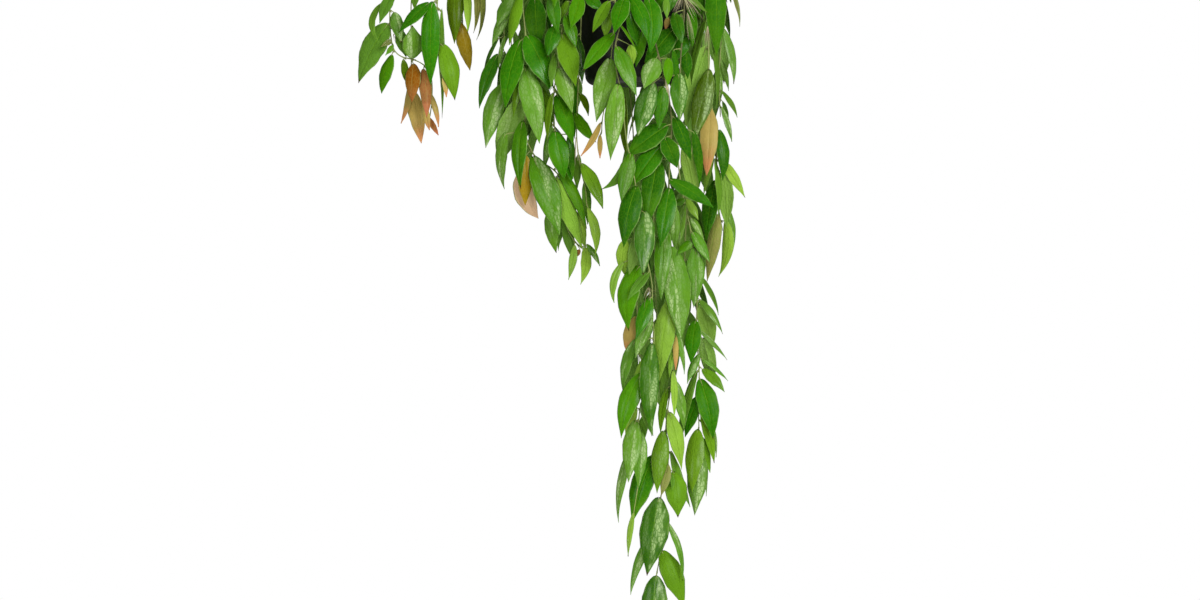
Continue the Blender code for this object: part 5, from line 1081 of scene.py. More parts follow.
def leaf_pattern_group():
    """Veins, the pebbled skin between them, mottling, a painted whitish sheen and the dry tip of a leaf.

    Place holds (across, along, seed): across runs from -1 to 1 over the blade, along from 0 to 1.
    Flat holds the place on the flattened blade in metres. Under is 1 on the lower side. The sign of Sheen
    says which half of the blade carries most of the painted sheen. Flush is how pink the tip is.
    """
    tree, n, given, put = start_group(
        "leaf pattern",
        [("Place", VECTOR), ("Flat", VECTOR), ("Under", FLOAT), ("Tint", COLOUR), ("Vein Tint", COLOUR),
         ("Pale", COLOUR), ("Dry", FLOAT), ("Sheen", FLOAT), ("Pebble", FLOAT), ("Flush", FLOAT)],
        [("Colour", COLOUR), ("Roughness", FLOAT), ("Height", FLOAT), ("Gloss", FLOAT)],
    )
    across, along, seed = n.parts(given["Place"])
    side = n.math("ABSOLUTE", across)
    flat_x, flat_y, _ = n.parts(given["Flat"])
    flat = n.vector(flat_x, flat_y, n.times(seed, 3.7))

    wobble = n.times(n.noise(flat, 90.0, 2.0), 0.10, -0.05)
    midrib = n.step(side, 0.015, 0.055, 1.0, 0.0)
    spread = n.step(along, 0.0, 0.30)
    fade = n.step(along, 0.55, 0.95, 1.0, 0.2)
    ribs = midrib
    for place, weight in ((0.40, 0.85), (0.76, 0.65)):
        middle = n.times(spread, place)
        gap = n.math("ABSOLUTE", n.math("SUBTRACT", n.math("ADD", side, wobble), middle))
        rib = n.times(n.step(gap, 0.0, 0.07, weight, 0.0), fade)
        ribs = n.math("MAXIMUM", ribs, rib)
    slanted = n.place(flat, (1.0, 0.62, 1.0))
    net = n.step(n.voronoi(slanted, 270.0, "DISTANCE_TO_EDGE"), 0.0, 0.16, 1.0, 0.0)
    pillow = n.voronoi(slanted, 270.0, "F1")
    fine = n.noise(flat, 900.0, 2.0)

    # Veins are sunk on the upper side and stand up on the lower one.
    under = given["Under"]
    raise_veins = n.times(under, 2.0, -1.0)
    height = n.times(ribs, 0.12, n.times(midrib, 0.6))
    height = n.times(net, 0.55, height)
    height = n.times(pillow, 0.55, height)
    height = n.times(height, raise_veins)
    height = n.times(fine, 0.14, height)
    n.feed(put["Height"], n.times(height, given["Pebble"]))

    # The blade's colour: clouded tint, veins, painted sheen and flush, then the lower side's paler one.
    clouds = n.noise(flat, 38.0, 4.0, 0.6)
    shade = n.times(clouds, 0.6, 0.70)
    grey = n.add("ShaderNodeCombineColor", shade, shade, shade).outputs[0]
    colour = n.mix(1.0, given["Tint"], grey, "MULTIPLY")
    vein_colour = n.mix(0.6, given["Tint"], given["Vein Tint"])
    blush = n.step(n.noise(flat, 17.0, 2.0), 0.50, 0.75)
    colour = n.mix(n.times(blush, 0.30), colour, vein_colour)
    vein = n.math("MAXIMUM", n.times(ribs, 0.07), n.times(net, 0.22))
    vein = n.math("MAXIMUM", vein, n.times(midrib, n.step(along, 0.2, 0.9, 0.75, 0.25)))
    colour = n.mix(vein, colour, vein_colour)
    # Painted sheen: a whitish reflection painted into the colour. It is full on the favoured half of the
    # blade and fades towards the edge, lies in streaks, and is weaker on the net of veins.
    favoured = n.times(across, n.math("SIGN", given["Sheen"]))
    painted_sheen = n.times(n.math("ABSOLUTE", given["Sheen"]), n.step(favoured, -0.06, 0.08, 0.25, 1.0))
    painted_sheen = n.times(painted_sheen, n.step(side, 0.66, 0.90, 1.0, 0.0))
    sheen_streaks = n.noise(n.place(flat, (1.0, 0.22, 1.0)), 120.0, 3.0, 0.6)
    painted_sheen = n.times(painted_sheen, n.step(sheen_streaks, 0.40, 0.58, 0.10, 1.15))
    painted_sheen = n.times(painted_sheen, n.step(net, 0.0, 0.7, 1.0, 0.40), clamp=True)
    colour = n.mix(painted_sheen, colour, PAINTED_SHEEN_COLOUR)
    flush = n.times(n.step(n.times(clouds, 0.5, along), 0.75, 1.15), given["Flush"])
    colour = n.mix(flush, colour, FLUSH_COLOUR)
    pale = n.mix(n.times(ribs, 0.4), given["Pale"], given["Vein Tint"])
    pale = n.mix(0.45, pale, colour)
    colour = n.mix(under, colour, pale)

    # The pale margin: the blade's paler edge with painted light along it, half in the painted sheen's colour.
    # Then the dry tip and a few brown spots.
    rim = n.step(side, 0.87, 0.95)
    pale_and_lit_margin = n.times(rim, n.step(n.noise(flat, 60.0, 2.0), 0.35, 0.6, 0.15, 0.9))
    colour = n.mix(pale_and_lit_margin, colour, n.mix(0.5, vein_colour, PAINTED_SHEEN_COLOUR))
    edge = n.times(n.noise(flat, 420.0, 2.0), 0.06, along)
    dry_start = n.times(given["Dry"], -0.07, 1.02)
    dry = n.step(n.math("SUBTRACT", edge, dry_start), 0.0, 0.035)
    colour = n.mix(n.times(dry, 0.9), colour, (0.045, 0.018, 0.006, 1.0))
    spots = n.step(n.voronoi(flat, 260.0), 0.0, 0.13, 1.0, 0.0)
    patch = n.step(n.noise(flat, 30.0, 1.0), 0.60, 0.72)
    spotted = n.times(spots, patch)
    colour = n.mix(n.times(spotted, 0.55), colour, (0.16, 0.09, 0.01, 1.0))
    n.feed(put["Colour"], colour)

    rough = n.times(clouds, 0.20, 0.30)
    rough = n.times(under, 0.26, rough)
    n.feed(put["Roughness"], n.times(dry, 0.25, rough, clamp=True))
    n.feed(put["Gloss"], n.math("SUBTRACT", 1.0, n.math("MAXIMUM", under, dry), clamp=True))
    return tree


def bark_pattern_group():
    """Fine lengthwise furrows and blotches of a thin woody stem.

    Place holds (round, metres along, age): age runs from 0 on new growth to 1 on old wood.
    """
    tree, n, given, put = start_group(
        "bark pattern",
        [("Place", VECTOR), ("Young", COLOUR), ("Old", COLOUR), ("Coarse", FLOAT)],
        [("Colour", COLOUR), ("Roughness", FLOAT), ("Height", FLOAT)],
    )
    turn, run, age = n.parts(given["Place"])
    flow = n.vector(n.times(turn, 5.0), n.times(run, 90.0), age)
    furrow = n.noise(flow, 1.6, 4.0, 0.65)
    blotch = n.noise(n.place(flow, (0.35, 0.55, 1.0)), 1.0, 2.0)
    grown = n.step(n.times(blotch, 0.5, n.math("SUBTRACT", age, 0.25)), 0.15, 0.55)
    colour = n.mix(grown, given["Young"], given["Old"])
    dark = n.times(n.step(furrow, 0.35, 0.62, 0.55, 0.0), n.times(grown, 0.8, 0.2))
    colour = n.mix(n.times(dark, given["Coarse"]), colour, (0.035, 0.016, 0.008, 1.0))
    light = n.step(blotch, 0.58, 0.75, 0.0, 0.35)
    n.feed(put["Colour"], n.mix(light, colour, (0.30, 0.28, 0.13, 1.0)))
    n.feed(put["Roughness"], n.times(grown, 0.28, 0.46))
    n.feed(put["Height"], n.times(furrow, given["Coarse"]))
    return tree


def moulded_group():
    """Moulded plastic: a slight haze, hairline scratches and dust that settles on what faces up."""
    tree, n, given, put = start_group(
        "moulded plastic",
        [("Colour", COLOUR), ("Dust", FLOAT)],
        [("Colour", COLOUR), ("Roughness", FLOAT), ("Height", FLOAT)],
    )
    place = n.add("ShaderNodeTexCoord").outputs["Object"]
    haze = n.noise(place, 26.0, 4.0, 0.6)
    scratches = n.step(n.noise(n.place(place, (40.0, 40.0, 900.0)), 1.0, 2.0), 0.66, 0.76)
    grain = n.noise(place, 1400.0, 2.0)
    up = n.parts(n.add("ShaderNodeNewGeometry").outputs["Normal"])[2]
    settled = n.times(n.step(up, 0.2, 0.9), n.step(n.noise(place, 160.0, 4.0), 0.35, 0.65))
    veil = n.times(n.math("MAXIMUM", settled, n.times(haze, 0.25)), given["Dust"])
    n.feed(put["Colour"], n.mix(veil, given["Colour"], (0.16, 0.13, 0.10, 1.0)))
    rough = n.times(haze, 0.22, 0.20)
    rough = n.times(scratches, 0.12, rough)
    n.feed(put["Roughness"], n.times(veil, 0.45, rough, clamp=True))
    n.feed(put["Height"], n.times(scratches, -0.4, n.times(grain, 0.35)))
    return tree


# ---------------------------------------------------------------- materials
def wire(n, shader, pattern, depth):
    """Feeds a pattern's outputs to the shader; depth is that of its relief in metres."""
    n.feed(shader["Base Color"], pattern["Colour"])
    n.feed(shader["Roughness"], pattern["Roughness"])
    n.feed(shader["Normal"], n.bump(pattern["Height"], depth))


def leaf_material(name, group, vein_tint, pale, pebble, coat, roughness, young):
    """A leaf's skin; pale is its lower side, pebble the depth of its relief."""
    made, n, shader = start_material(name, roughness, ior=1.46, coat=coat, coat_roughness=0.22, specular=0.03)
    # Per leaf: dryness, gloss, and the painted sheen, or a young leaf's pink flush in its place.
    per_leaf = n.parts(n.attribute("leaf_habit"))
    out = use_group(
        n,
        group,
        Place=n.attribute("leaf_place"),
        Flat=n.attribute("leaf_flat"),
        Under=n.attribute("leaf_under", "Fac"),
        Tint=n.attribute("leaf_tint", "Color"),
        Vein_Tint=vein_tint,
        Pale=pale,
        Dry=per_leaf[0],
        # the painted sheen on a mature leaf; on a young leaf the third value is its flush instead
        Sheen=0.0 if young else per_leaf[2],
        Pebble=pebble,
        Flush=per_leaf[2] if young else 0.0,
    )
    n.feed(shader["Coat Weight"], n.times(out["Gloss"], n.times(per_leaf[1], coat)))
    wire(n, shader, out, 0.0007)
    return made


def bark_material(name, group, young, old, coarse):
    """A stem's bark, from new growth to old wood."""
    made, n, shader = start_material(name, 0.6)
    out = use_group(n, group, Place=n.attribute("stem_place"), Young=young, Old=old, Coarse=coarse)
    wire(n, shader, out, 0.0006)
    return made


def plastic_material(name, group, colour, dust, specular):
    """Dark moulded plastic."""
    made, n, shader = start_material(name, 0.3, ior=1.5, specular=specular)
    out = use_group(n, group, Colour=colour, Dust=dust)
    wire(n, shader, out, 0.0003)
    return made


def mix_material():
    """Damp potting mix: dark peat, bark flecks and a few pale crumbs."""
    made, n, shader = start_material("potting mix crumbs", 0.9)
    place = n.add("ShaderNodeTexCoord").outputs["Object"]
    crumbs = n.voronoi(place, 420.0)
    damp = n.noise(place, 70.0, 4.0, 0.6)
    colour = n.mix(damp, (0.012, 0.007, 0.004, 1.0), (0.060, 0.034, 0.018, 1.0))
    fleck = n.step(n.noise(place, 260.0, 1.0), 0.60, 0.68)
    colour = n.mix(n.times(fleck, 0.7), colour, (0.17, 0.095, 0.045, 1.0))
    pale = n.step(n.voronoi(place, 130.0), 0.0, 0.14, 1.0, 0.0)
    n.feed(shader["Base Color"], n.mix(n.times(pale, 0.6), colour, (0.42, 0.40, 0.35, 1.0)))
    n.feed(shader["Roughness"], n.times(damp, 0.25, 0.68))
    n.feed(shader["Normal"], n.bump(n.math("ADD", crumbs, damp), 0.0015))
    return made


# ---------------------------------------------------------------- meshes
ACROSS = (-1.0, -0.90, -0.70, -0.44, -0.20, -0.06, 0.0, 0.06, 0.20, 0.44, 0.70, 0.90, 1.0)
ALONG = (0.0, 0.012, 0.035, 0.07, 0.12, 0.18, 0.25, 0.32, 0.40, 0.48, 0.56, 0.64, 0.71, 0.78, 0.84, 0.89,
         0.93, 0.96, 0.98, 1.0)
BLADE_THICK = 0.034  # cm
BLADE_END = 0.035  # half width where a blade meets its stalk and at its very tip, cm
MIDRIB_GROOVE = 0.035  # cm
MIDRIB_WIDTH = 0.07  # cm
PILLOW = 0.05  # how far a half of the blade swells between midrib and edge, cm
EDGE_DROOP = 0.10  # how far the edge drops, by the half width
TWIST_PIVOT = 0.35  # the place along the blade that its twist turns about
DRAWN_FROM = 0.60  # from here on a mature blade narrows to a drawn-out tip
CURL_FROM = 0.78  # from here on every blade's tip curls under
LOBE = 0.035  # how far the base's two lobes reach back, by the length
LOBE_END = 0.10  # the share of the blade where they end
SCALLOP = 0.03  # unevenness of the outline
LEAF_KINDS = {
    "leaf_place": ("FLOAT_VECTOR", "POINT", "vector"),
    "leaf_flat": ("FLOAT_VECTOR", "POINT", "vector"),
    # dryness, gloss, and the painted sheen or a young leaf's flush
    "leaf_habit": ("FLOAT_VECTOR", "POINT", "vector"),
    "leaf_tint": ("FLOAT_COLOR", "POINT", "color"),
    "leaf_under": ("FLOAT", "FACE", "value"),
}
STEM_KINDS = {"stem_place": ("FLOAT_VECTOR", "POINT", "vector")}

STALK_SIZES = (1.35, 1.2, 1.0, 0.95, 0.9, 0.85, 0.7, 0.25)  # a leaf stalk's taper
TWIG_SIZES = (1.0, 1.0, 0.9, 0.8, 0.6, 0.25)  # a dead twig's taper
STALK_THICK = 0.045  # a leaf stalk's radius, cm
STALK_THICKER = 0.0045  # and more of it for each cm of blade
BUD_SIZES = (0.06, 0.075, 0.05, 0.01)  # radii from root to tip, cm
BUD_AGE = 0.35
BUD_OUT = 0.16  # from the node to the middle of its bud, cm
BUD_LENGTH = (0.12, 0.26)  # cm
YOUNG_STALK_AGE = 0.25
STEM_SHARE = 0.62  # the round stem's radius by its solid's
STEM_STEP = 0.4  # between a stem's rings, cm
STEM_STRAY = 0.05  # how far a stem wanders from its spine, cm
NODE_SWELL = 0.28  # how much thicker a stem is at a node
NODE_REACH = 0.28  # and how far along the stem that reaches, cm
ROOT_AGE = 0.80  # ages run from 0 on new growth to 1 on old wood


def show(name, data):
    """A new object in the scene."""
    made = bpy.data.objects.new(name, data)
    bpy.context.scene.collection.objects.link(made)
    return made


class Skin:
    """Points, faces and their values, gathered for one mesh."""

    def __init__(self):
        self.points, self.faces, self.slots = [], [], []
        self.values = {}

    def put(self, points, faces, slot=0, **values):
        base = len(self.points)
        self.points += points
        self.faces += [tuple(base + i for i in face) for face in faces]
        self.slots += [slot] * len(faces)
        for name, rows in values.items():
            self.values.setdefault(name, []).extend(rows)

    def build(self, name, materials, kinds=None, to_world=tuple):
        """The piece; kinds are its attributes, and to_world turns its points into the frame's metres."""
        mesh = bpy.data.meshes.new(name)
        mesh.from_pydata([to_world(p) for p in self.points], [], self.faces)
        for surface in materials:
            mesh.materials.append(surface)
        mesh.polygons.foreach_set("material_index", self.slots)
        for key, (kind, domain, field) in (kinds or {}).items():
            layer = mesh.attributes.new(key, kind, domain)
            layer.data.foreach_set(field, np.asarray(self.values[key], dtype=np.float32).ravel())
        mesh.shade_smooth()
        mesh.validate()
        return show(name, mesh)


def leaf_tint(tone, chance):
    """The tone's colour with the small differences between one leaf and the next."""
    r, g, b = LEAF_COLOURS[tone]
    lift = chance.uniform(0.86, 1.16)
    warm = chance.uniform(-0.10, 0.07)
    return (r * lift * (1 + warm), g * lift, b * lift * (1 - warm * 0.5), 1.0)


class Habit:
    """How one blade grew: its folds and waves, its tint and its finish, and the sheen painted into its
    colour.
    """

    def __init__(self, leaf):
        # A leaf's place is its seed, so that it stays the same whatever is added round it.
        chance = random.Random(round(leaf.start.x * 100) * 1009 + round(leaf.start.z * 100))
        self.fold = max(chance.uniform(-0.45, 0.12), -0.76 / leaf.width)
        self.twist = chance.uniform(-0.45, 0.45)
        self.waves = chance.uniform(1.5, 3.0)
        self.phase = chance.uniform(0, math.tau)
        self.wave_size = chance.uniform(0.01, 0.05)
        self.lopsided = chance.uniform(-0.06, 0.06)
        self.curl = chance.uniform(0.0, 0.35)
        self.seed = chance.uniform(0, 40)
        self.tint = leaf_tint(leaf.tone, chance)
        self.young = leaf.tone in YOUNG_FLUSH
        self.dry = 0.0 if self.young else max(0.0, chance.uniform(-0.9, 1.0))
        # Painted sheen, a whitish reflection painted into the colour: full on the sheen tones, and on about a
        # quarter of the other leaves at a random strength.
        sheen = 0.0 if leaf.tone in NO_PAINTED_SHEEN else 0.8 * max(0.0, chance.uniform(-3.0, 1.0))
        if leaf.tone in PAINTED_SHEEN:
            sheen = chance.uniform(0.80, 1.0) * PAINTED_SHEEN[leaf.tone]
        # The painted sheen lies on the right half of the blade, where the key light falls; outside ONE_SIDED
        # a quarter of the leaves have it on the left half.
        if leaf.tone not in ONE_SIDED and chance.random() >= 0.75:
            sheen = -sheen
        self.gloss = 0.8 * chance.random() ** 3
        self.drawn_out = 0.0 if self.young else chance.uniform(0.10, 0.45)
        # Dryness, gloss and the painted sheen; a young leaf has its pink flush in place of the sheen.
        self.finish = (self.dry, self.gloss, YOUNG_FLUSH.get(leaf.tone, sheen))


def blade_row(leaf, habit, v):
    """The blade across a share v of its length: top points, points under them and places on the leaf."""
    across, up, along = leaf.frame(v)
    turn = habit.twist * (v - TWIST_PIVOT)
    side = across * math.cos(turn) + up * math.sin(turn)
    rise = up * math.cos(turn) - across * math.sin(turn)
    half = leaf.half_width(v) if 0 < v < 1 else BLADE_END
    half *= 1 - habit.drawn_out * max(0.0, v - DRAWN_FROM) / (1 - DRAWN_FROM)
    centre = leaf.point(v) - up * habit.curl * max(0.0, v - CURL_FROM) ** 2 * leaf.length
    lobe = LOBE * leaf.length * max(0.0, 1 - v / LOBE_END) ** 1.5
    scallop = 1 + SCALLOP * math.sin(habit.waves * 9 * v + habit.phase)
    top, under, place, flat = [], [], [], []
    for u in ACROSS:
        reach = abs(u)
        wide = half * (1 + habit.lopsided * (1 if u > 0 else -1)) * scallop
        groove = MIDRIB_GROOVE * math.exp(-((u * half / MIDRIB_WIDTH) ** 2)) * min(1.0, half)
        pillow = PILLOW * min(1.0, half) * math.sin(math.pi * min(1.0, reach * 1.25)) ** 2
        ripple = math.sin(math.tau * habit.waves * v + habit.phase + (0.9 if u > 0 else 0))
        wave = habit.wave_size * half * reach**3 * ripple
        fold = habit.fold * half * (reach - 0.5) * 0.9
        height = fold - EDGE_DROOP * half * reach**4 + pillow - groove + wave
        p = centre + side * (u * wide) + rise * height - along * lobe * reach
        thick = 0.0 if reach == 1.0 or v in (0.0, 1.0) else BLADE_THICK * (1 - 0.5 * reach)
        top.append(p)
        under.append(p - rise * thick)
        place.append((u, v, habit.seed))
        flat.append((u * wide * CM, v * leaf.length * CM, habit.seed))
    return top, under, place, flat


def add_leaf(skin, leaf):
    """A thin closed blade: folded along its midrib, pillowed between its veins, its edge wavy."""
    habit = Habit(leaf)
    columns, rows = len(ACROSS), len(ALONG)
    points, lower, place, flat = [], [], [], []
    for v in ALONG:
        for gathered, row in zip((points, lower, place, flat), blade_row(leaf, habit, v)):
            gathered += row

    index = {}  # the lower side's points; it shares those of the edge with the upper side
    for k in range(rows * columns):
        row, column = divmod(k, columns)
        if row in (0, rows - 1) or column in (0, columns - 1):
            index[k] = k
        else:
            index[k] = len(points)
            points.append(lower[k])
            place.append(place[k])
            flat.append(flat[k])
    faces = []
    for row in range(rows - 1):
        for a in range(row * columns, row * columns + columns - 1):
            quad = (a, a + columns, a + columns + 1, a + 1)
            faces += [quad, tuple(index[i] for i in reversed(quad))]
    skin.put(
        points,
        faces,
        slot=1 if habit.young else 0,
        leaf_place=place,
        leaf_flat=flat,
        # dryness, gloss and the painted sheen, the flush on a young leaf
        leaf_habit=[habit.finish] * len(points),
        leaf_tint=[habit.tint] * len(points),
        leaf_under=[0.0, 1.0] * (len(faces) // 2),
    )


def add_tube(skin, points, radii, ages, sides=8, slot=0):
    """A round tube with closed ends along points in centimetres."""
    rings = tube_rings(points, radii, sides)
    place, run = [], 0.0
    for i, p in enumerate(points):
        if i:
            run += (p - points[i - 1]).length * CM
        place += [(abs(k / sides * 2 - 1), run, ages[i]) for k in range(sides)]
    faces = ring_faces(len(points), sides) + end_faces(len(rings), sides)
    skin.put(rings, faces, slot=slot, stem_place=place)


def bezier(a, b, c, d, count):
    """Points along the curve from a to d that b and c pull."""
    steps = [k / (count - 1) for k in range(count)]
    return [a * (1 - t) ** 3 + b * 3 * t * (1 - t) ** 2 + c * 3 * t * t * (1 - t) + d * t**3 for t in steps]


def add_dead_twigs(skin, bunch, chance):
    """Thin dry strands that fan out from one place and arch a little."""
    root, end, count, spread, thick = bunch
    root, end = Vector(root), Vector(end)
    length = (end - root).length
    for _ in range(count):
        stray = Vector([chance.uniform(-spread, spread) for _ in range(3)])
        tip = root + (end - root) * chance.uniform(0.55, 1.0) + stray
        middle = (root + tip) / 2 + stray * 0.3 + Vector((0, 0, chance.uniform(0.0, 0.12) * length))
        line = bezier(root, root + (middle - root) * 0.7, middle + (tip - middle) * 0.4, tip, len(TWIG_SIZES))
        size = thick * chance.uniform(0.6, 1.2)
        age = chance.uniform(0.0, 0.7)
        add_tube(skin, line, [size * share for share in TWIG_SIZES], [age] * len(line), sides=5, slot=1)


def add_stem(skin, spine, leaves):
    """The stem itself, swollen where leaves leave it, from old wood at its root to green at its tip."""
    count = max(12, int(spine.length / STEM_STEP))
    points, radii, ages = [], [], []
    for s in [min(spine.length, spine.length * k / count) for k in range(count + 1)]:
        p = spine.point(s)
        stray = Vector([noise.noise(p * 0.35 + Vector((0, 0, 9.7 * axis))) for axis in range(3)]) * STEM_STRAY
        swell = sum(math.exp(-(((s - leaf.node) / NODE_REACH) ** 2)) for leaf in leaves)
        grain = 1 + 0.10 * noise.noise(p * 2.3)
        points.append(p + stray)
        radii.append((spine.radius(s) * STEM_SHARE * (1 + NODE_SWELL * min(1.0, swell))) * grain)
        ages.append(max(0.0, ROOT_AGE - s / spine.length * 1.3))
    points.insert(0, points[0] + Vector((0, 0, -0.35)))
    radii.insert(0, radii[0] * 1.2)
    ages.insert(0, 1.0)
    radii[-1] *= 0.5
    add_tube(skin, points, radii, ages)


def add_stalk(skin, spine, leaf, chance):
    """A leaf's stalk, and the bud that sits between it and the stem."""
    root = spine.point(leaf.node)
    _, up, along = leaf.frame(0.0)
    run = (leaf.start - root).length
    way = (leaf.start - root).normalized()
    before = leaf.start - along * 0.12 - up * 0.03
    line = bezier(root, root + way * run * 0.5, before, leaf.point(0.03), len(STALK_SIZES) - 1)
    line.append(leaf.point(0.10) - up * 0.02)
    size = STALK_THICK + STALK_THICKER * leaf.length
    age = YOUNG_STALK_AGE if leaf.tone in YOUNG_FLUSH else 0.0
    add_tube(skin, line, [size * share for share in STALK_SIZES], [age] * len(line), sides=6)
    bud = root + way * BUD_OUT + spine.tangent(leaf.node) * BUD_OUT
    tip = bud + (way + spine.tangent(leaf.node)).normalized() * chance.uniform(*BUD_LENGTH)
    add_tube(skin, [root, bud, (bud + tip) / 2, tip], BUD_SIZES, [BUD_AGE] * 4, sides=5)


def sweep(skin, line, section, outward, scales=None):
    """A section swept along a line in metres; outward is the way the section's second axis faces."""
    rings = []
    for i, p in enumerate(line):
        along = (line[min(i + 1, len(line) - 1)] - line[max(i - 1, 0)]).normalized()
        across = along.cross(outward).normalized()
        flat = across.cross(along).normalized()
        size = scales[i] if scales else 1.0
        rings += [p + across * u * size - flat * v * size for u, v in section]
    skin.put(rings, ring_faces(len(line), len(section)) + end_faces(len(rings), len(section)))


def circle(radius, count):
    """A circle's outline, counterclockwise."""
    return [(math.cos(a) * radius, math.sin(a) * radius) for a in around(count)]


def rounded_bar(width, thick, radius, steps=3):
    """A rectangle's outline with rounded corners, counterclockwise."""
    outline = []
    for sx, sy, start in ((1, 1, 0), (-1, 1, 90), (-1, -1, 180), (1, -1, 270)):
        for k in range(steps + 1):
            a = math.radians(start + 90 * k / steps)
            corner = (sx * (width / 2 - radius), sy * (thick / 2 - radius))
            outline.append((corner[0] + math.cos(a) * radius, corner[1] + math.sin(a) * radius))
    return outline


def turned(skin, profile, segments, base_z):
    """A turned body whose profile starts and ends near the axis; both ends are closed with a fan."""
    points = [polar(a, r, base_z + z) for r, z in profile for a in around(segments)]
    faces = ring_faces(len(profile), segments)
    first, last = len(points), len(points) + 1
    end = segments * (len(profile) - 1)
    points += [Vector((0, 0, base_z + profile[0][1])), Vector((0, 0, base_z + profile[-1][1]))]
    faces += [(first, (k + 1) % segments, k) for k in range(segments)]
    faces += [(last, end + k, end + (k + 1) % segments) for k in range(segments)]
    skin.put(points, faces)


def arc(middle, radius, begin, finish, count):
    """Points of an arc in (radius, height), angles in degrees from outward."""
    turns = [math.radians(begin + (finish - begin) * k / (count - 1)) for k in range(count)]
    return [(middle[0] + math.cos(a) * radius, middle[1] + math.sin(a) * radius) for a in turns]


def cut_away(piece, cutter):
    """Takes the cutter's shape out of the piece."""
    modifier = piece.modifiers.new("holes", "BOOLEAN")
    modifier.operation = "DIFFERENCE"
    modifier.solver = "EXACT"
    modifier.object = cutter
    shape = bpy.data.meshes.new_from_object(piece.evaluated_get(bpy.context.evaluated_depsgraph_get()))
    piece.modifiers.clear()
    piece.data = shape
    bpy.data.objects.remove(cutter, do_unlink=True)


def finish_piece(piece, slot, *nodes, sharp=None):
    """Hangs the piece from the root body and hides the solids it stands for; edges over `sharp` degrees stay
    crisp. Its slot is not used.
    """
    if sharp:
        piece.data.shade_smooth()
        piece.data.set_sharp_from_angle(angle=math.radians(sharp))
    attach(piece, "root")
    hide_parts(*nodes)


POT_MIDDLE = 0.018  # radius inside which the base is closed by fans
RIM_SOFT = 0.0011  # rounding of the rim band's edges


def make_pot(surface):
    """The pot: a foot ring, drawn-in wall, rolled band at the rim and holes through its base."""
    base_z = RIM_Z - POT_HEIGHT
    band = POT_HEIGHT - RIM_BAND_HEIGHT
    corner_middle = (POT_BASE_RADIUS - POT_CORNER, POT_CORNER)
    wall_top = POT_WALL_TOP_RADIUS
    # The underside with its foot ring, the rounded corner and the wall.
    profile = [(POT_MIDDLE, 0.0006), (0.0395, 0.0006), (0.0405, 0.0), (corner_middle[0], 0.0)]
    profile += arc(corner_middle, POT_CORNER, -84, 0, 9)
    profile += [(wall_top - 0.0004, band - 0.004), (wall_top, band - 0.0014)]
    profile.append((wall_top + 0.0012, band - 0.0002))
    # The rim band, over its top.
    profile += arc((RIM_RADIUS - RIM_SOFT, band + RIM_SOFT), RIM_SOFT, -80, 0, 5)
    profile += arc((RIM_RADIUS - RIM_SOFT, POT_HEIGHT - RIM_SOFT), RIM_SOFT, 0, 90, 5)
    profile += arc((RIM_RADIUS - 0.0026, POT_HEIGHT - RIM_SOFT), RIM_SOFT, 90, 180, 5)
    # Down the inside to the floor.
    profile += [(wall_top - POT_WALL + 0.0006, band + 0.004), (wall_top - POT_WALL, band - 0.002)]
    inside = (corner_middle[0] - POT_WALL, corner_middle[1] + POT_WALL)
    profile += arc(inside, POT_CORNER, 0, -88, 8)
    profile += [(POT_MIDDLE, POT_WALL)]
    skin = Skin()
    turned(skin, profile, 112, base_z)
    pot = skin.build("pot_body", [surface])
    for a in around(DRAIN_COUNT):
        drill = Skin()
        turned(drill, [(DRAIN_RADIUS, -POT_WALL * 2), (DRAIN_RADIUS, POT_WALL * 3)], 24, base_z)
        cutter = drill.build("drill", [surface])
        cutter.location = polar(a, DRAIN_RING_RADIUS)
        cut_away(pot, cutter)
    finish_piece(pot, "black_plastic", "pot", sharp=38)


BOSS_PROFILE = (  # (share of the boss's radius, height in metres)
    (0.5, -0.0068), (0.8, -0.0062), (0.96, -0.0046), (1.0, -0.003), (1.0, 0.0012), (0.94, 0.0026),
    (0.75, 0.0042), (0.52, 0.0062), (0.38, 0.0078),
)
HOOK_END = (0.92, 0.7, 0.3)  # how the hook's bar rounds off
CLIP_LIP = 0.0032  # thickness of a clip's lip under the rim band
CLIP_LIP_DROP = 0.0022  # from the rim band down to the lip's middle line
CLIP_LIP_RUN = (0.0024, 0.0016, -0.0014, -0.0022)  # the lip's line, from the rim's radius
CLIP_LIP_SIZES = (0.8, 1.0, 1.0, 0.75)
CLIP_RIBS = (-0.004, -0.0105)  # heights of the ribs on a clip, from the rim
CLIP_RIB_HALF = 0.42  # half a rib's length, by the strap's width
CLIP_RIB_BAR = (0.0012, 0.0014, 0.0005, 2)  # a rib's width, thickness, rounding and its steps
STRAP_SOFT = 0.0009  # rounding of a strap's edges
CLIP_LIP_SOFT = 0.0012  # and of the lip's


